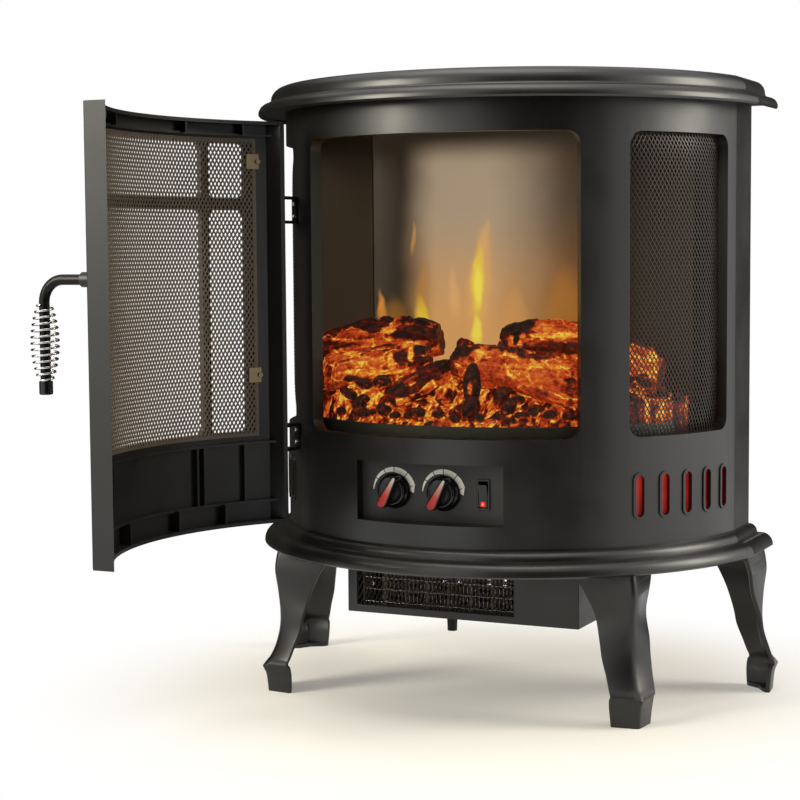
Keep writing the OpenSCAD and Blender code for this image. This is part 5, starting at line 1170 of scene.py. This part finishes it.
# From a knob's own plane, with z out of the panel, to its place and turn at rest
def onKnob(x, point):
    a = math.radians(knobs["turn"])
    px, py, pz = point
    return ((x + px * math.cos(a) + py * math.sin(a)) / 1000, (knobs["seat"] - pz) / 1000,
            (knobs["height"] - px * math.sin(a) + py * math.cos(a)) / 1000)


# Rings of the grip or the insert, from the panel outwards
def tearRings(part):
    wide, tip, reach, steps = knobs[part]
    return [[(*p, z) for p in tearOutline(wide, tip, reach, inset)] for inset, z in steps]


def mouldKnob(name, black, red):
    x, body = knobs[name]
    spokes = [2 * math.pi * j / knobs["facets"] for j in range(knobs["facets"])]
    verts, faces = [], []
    for rings in ([[(r * math.cos(a), r * math.sin(a), z) for a in spokes] for r, z in knobs["skirt"]],
                  tearRings("bar")):
        faces += skinRings(rings, len(verts))
        verts += [onKnob(x, p) for ring in rings for p in ring]
    addPiece(name + "_moulded", verts, faces, black, body, (name,), 38)
    rings = tearRings("insert")
    verts = [onKnob(x, p) for ring in rings for p in ring]
    piece = addPiece(name + "_insert", verts, skinRings(rings), red, body, (name + "_pointer",),
                     38)
    reach = knobs["insert"][2]
    addPointValues(piece, {"toTip": [p[1] / (2 * reach) + 0.5 for ring in rings for p in ring]})


lens = {
    "centre": (53.5, -118.4, 214.7), "half": 3.1, "round": 1.5, "leastRound": 0.4, "cornerSteps": 4,
    "steps": ((0.0, 0.0), (0.0, 1.0), (0.35, 1.6), (1.0, 2.05), (1.9, 2.3)),      # inset and rise
    # the neon's glow: how far out of the rocker it sits, its reach, colours and strength
    "lampOut": 2.1, "lampReach": (0.4, 3.4), "glow": 0.9,
    "colours": ((0.0, "#ff9a80"), (0.35, "#f0402c"), (0.8, "#b01c12"), (1.0, "#7c1009")),
}


# Lit window at the foot of the rocker
def mouldLens(material):
    x, y, z = lens["centre"]
    steps = lens["cornerSteps"]
    rings = []
    for inset, out in lens["steps"]:
        half, r = lens["half"] - inset, max(lens["round"] - inset * 0.5, lens["leastRound"])
        ring = []
        for corner, (sx, sz) in enumerate(((1, 1), (-1, 1), (-1, -1), (1, -1))):
            for i in range(steps + 1):
                a = math.radians(90 * (corner + i / steps))
                ring.append(((x + sx * (half - r) + r * math.cos(a)) / 1000, (y - out) / 1000,
                             (z + sz * (half - r) + r * math.sin(a)) / 1000))
        rings.append(ring)
    verts = [p for ring in rings for p in ring]
    addPiece("rocker_lens", verts, skinRings(rings), material, "rocker", (), 50)


# Clear red lens over a neon lamp, brightest in its middle
def makeNeonLens():
    material, tree, shader = startMaterial("neonLens", "#8c1a10", 0.2, Emission_Strength=lens["glow"])
    spot = addTooth(tree, shader, 1.5, 0.003, 0.03)[0]
    x, y, z = lens["centre"]
    lamp = (x / 1000, (y - lens["lampOut"]) / 1000, z / 1000)
    away = addNode(tree, "VectorMath", {0: spot, 1: lamp}, operation="DISTANCE")
    near, far = lens["lampReach"]
    glow = addNode(tree, "MapRange", {"Value": away.outputs["Value"], "From Min": near / 1000,
                   "From Max": far / 1000})
    glow = addNode(tree, "ValToRGB", {0: glow}, lens["colours"])
    tree.links.new(glow.outputs[0], shader.inputs["Emission Color"])
    finishes["neonLens"] = material


legs = {
    # height, outward swing of the ridge, width of a face, splay of the faces
    "rows": ((0, 13.5, 28, 3), (10, 14.5, 29.5, 3), (19, 16, 31, 3), (27, 19.5, 33, 2), (31, 16.5, 29, 6),
             (38, 10, 26.5, 9), (50, 4.2, 26, 10), (66, 0.5, 29, 9), (83, 0, 32, 7), (107, 3, 41, -1),
             (127, 6, 53, -3), (139, 5, 60, -3), (148, 3, 62, -3)),
    "between": 9, "wall": 4.5, "plate": 4.0, "plateInset": 0.4,
    "round": 6.5, "roundSteps": 8, "foot": 28, "footRound": 0.55,       # the foot's ridge is crisper
    "edge": 0.9, "edgeCorner": 0.3,         # small round on the long edges
    "inside": 3.0, "insideCorner": 0.3,     # soft inner corner
    "spots": {"leg_front_left": (-195.55, -84.5), "leg_front_right": (195.55, -84.5),
              "leg_back_left": (-270.0, 123.5), "leg_back_right": (270.0, 123.5)},
}


# Rows of values made smooth through the given ones
def smoothRows(rows, between):
    rows = np.array(rows, float)
    out = []
    for i in range(len(rows) - 1):
        a, b, c, d = rows[max(i - 1, 0)], rows[i], rows[i + 1], rows[min(i + 2, len(rows) - 1)]
        for k in range(between):
            t = k / between
            bend = (2 * a - 5 * b + 4 * c - d) * t * t + (3 * b - a - 3 * c + d) * t ** 3
            out.append(0.5 * (2 * b + (c - a) * t + bend))
    return out + [rows[-1]]


# Angle section of the leg: rounded ridge outside, open inside; closed where it is a plate
def legSection(row, shut):
    # c is the ridge, a and b are the free edges of the two faces
    z, swing, width, splay = row
    c = np.array((-swing, -swing)) / math.sqrt(2)
    a, b = c + (width, -splay), c + (-splay, width)
    da, db = (a - c) / np.linalg.norm(a - c), (b - c) / np.linalg.norm(b - c)
    na, nb = np.array((-da[1], da[0])), np.array((db[1], -db[0]))
    t = legs["wall"]
    q = (na + nb) * t / (1 + na @ nb)
    r = legs["round"] * (legs["footRound"] if z < legs["foot"] else 1.0)
    n = legs["roundSteps"]
    ridge = [c + db * r * (1 - i / n) ** 2 + da * r * (i / n) ** 2 for i in range(n + 1)]
    e, part = legs["edge"], legs["edge"] * legs["edgeCorner"]
    endA = [a - da * e, a - da * part + na * part, a + na * e, a + na * (t - e), a + na * t - da * e]
    endB = [b + nb * t - db * e, b + nb * (t - e), b + nb * e, b - db * part + nb * part, b - db * e]
    soft, corner = legs["inside"], legs["inside"] * legs["insideCorner"]
    inside = [c + q + da * soft, c + q + (da + db) * corner, c + q + db * soft]
    if shut:
        inside = [a + (b - a) * 0.1 + na * t, (a + b) / 2, b + (a - b) * 0.1 + nb * t]
    return [(p[0], p[1], z) for p in ridge + endA + inside + endB]


def castLeg(name, material):
    x, y = legs["spots"][name]
    flipX, flipY = (-1 if x > 0 else 1), (-1 if y > 0 else 1)
    rows = smoothRows(legs["rows"], legs["between"])
    parts = [[legSection(row, False) for row in rows]]
    foot, head, less = rows[0], rows[-1], legs["plateInset"]
    top = legs["rows"][-1][0]
    for low, high, row in ((0, legs["plate"], foot), (top - legs["plate"], top, head)):
        parts.append([legSection((z, row[1] - less, row[2] - less, row[3]), True) for z in (low, high)])
    verts, faces = [], []
    for rings in parts:
        faces += skinRings(rings, len(verts))
        for ring in rings:
            verts += [((x + flipX * px) / 1000, (y + flipY * py) / 1000, pz / 1000) for px, py, pz in ring]
    if flipX * flipY < 0:
        faces = [tuple(reversed(f)) for f in faces]
    addPiece(name + "_cast", verts, faces, material, "casing", (name,), 26)


element = {
    # four bright rods
    "from": -112.0, "to": 62.0, "face": -46.6, "rod": 0.55, "rows": (95.0, 108.4, 120.4, 134.0),
    "rodSteps": 60, "sag": (0.25, 0.9),     # how far they wander up and down, and how often
    # the wire between them: its ends, spacing, place behind the rods and room at each turn
    "turnsFrom": -92.0, "turnsTo": 54.0, "pitch": 4.4, "wire": 0.42, "behind": 1.1, "short": 1.2,
    "lean": (0.5, 1.7), "turnSteps": 5,
    "clips": ((-103.0, 114.4), (60.0, 112.6)), "clipWire": 1.1,
}


# Wire zigzag between each two rods
def windElement(material):
    verts, faces = [], []
    spec = element
    steps, short = spec["turnSteps"], spec["short"]
    count = int((spec["turnsTo"] - spec["turnsFrom"]) / spec["pitch"])
    for low, high in zip(spec["rows"], spec["rows"][1:]):
        path = []
        for k in range(count + 1):
            x = spec["turnsFrom"] + k * spec["pitch"]
            z0, z1 = (low + short, high - short) if k % 2 else (high - short, low + short)
            lean = spec["lean"][0] * math.sin(k * spec["lean"][1])
            path += [(x + lean * i / steps, spec["face"] + spec["behind"], z0 + (z1 - z0) * i / steps)
                     for i in range(steps + 1)]
        sweepWire(verts, faces, path, spec["wire"], 6)
    addPiece("wound_element", verts, faces, material, "casing", ("heating_element",), 60)


# Support rods of the element, and the bent clips at their ends
def drawRods(material):
    verts, faces = [], []
    spec = element
    first, last, y, steps = spec["from"], spec["to"], spec["face"], spec["rodSteps"]
    sag, often = spec["sag"]
    for z in spec["rows"]:
        path = [(first + (last - first) * i / steps, y, z + sag * math.sin(i * often))
                for i in range(steps + 1)]
        sweepWire(verts, faces, path, spec["rod"], 8)
    for x, z in spec["clips"]:
        path = [(x - 1.5, y + 2, z + 4), (x, y, z + 3), (x + 1.2, y - 0.4, z), (x, y, z - 3),
                (x - 1.5, y + 2, z - 4)]
        sweepWire(verts, faces, path, spec["clipWire"], 8)
    addPiece("element_rods", verts, faces, material, "casing", (), 60)


# The scene, put together stage by stage
addCamera()
paintRoom()
hangSoftboxes()
hangCurtains()
layPaper()
print("camera, floor and lights ready")

makePlainFinishes()
makeGlass()
makeFlameScreen()
makeEmberResin("castLogResin")
makeEmberResin("castEmberResin")
makeSlotFilm()
makePrintInk()
makePointerAcrylic()
makeNeonLens()
makeLampGlass()
for name, names in cadFinish.items():
    for node in names.split():
        dressNode(node, finishes[name])
dressNode("window_pane", finishes["temperedGlass"])
dressNode("flame_screen", finishes["opalAcrylic"])
dressNode("slot_films", finishes["redPolyesterFilm"])
dressNode("lamps", finishes["frostedLampGlass"])
for name, width in softEdges["widths"].items():
    softenEdges(name, width)
print("CAD nodes dressed")

for name in logs:
    sculptLog(name, finishes["castLogResin"])
sculptBed(finishes["castEmberResin"])
sculptCoals(finishes["castEmberResin"])
bendTrayLip(finishes["trayEnamel"])
print("logs and embers cast")

expandedSheet("side_mesh_right_expanded", sheets["side"], sidePlace, finishes["expandedSteel"], "casing",
              ("side_mesh_right",))
expandedSheet("side_mesh_left_expanded", sheets["side"], sidePlace, finishes["expandedSteel"], "casing",
              ("side_mesh_left",), mirror=True)
expandedSheet("door_mesh_expanded", sheets["door"], doorPlace, finishes["litDoorExpandedSteel"], "door",
              ("door_mesh",))
expandedSheet("heater_guard_expanded", sheets["guard"], guardPlace, finishes["guardSteel"], "casing",
              ("heater_grille",))
print("expanded metal slit and stretched")

for name in legs["spots"]:
    castLeg(name, finishes["paintedCastIron"])
windElement(finishes["nichromeWire"])
drawRods(finishes["supportWire"])
print("legs cast and heater wound")

windSpring(finishes["chromedSteel"])
for name in ("knob_flame", "knob_heat"):
    mouldKnob(name, finishes["glossAbs"], finishes["redAcrylicInsert"])
mouldLens(finishes["neonLens"])
printDials(finishes["whitePrintInk"])
print("handle and controls done")
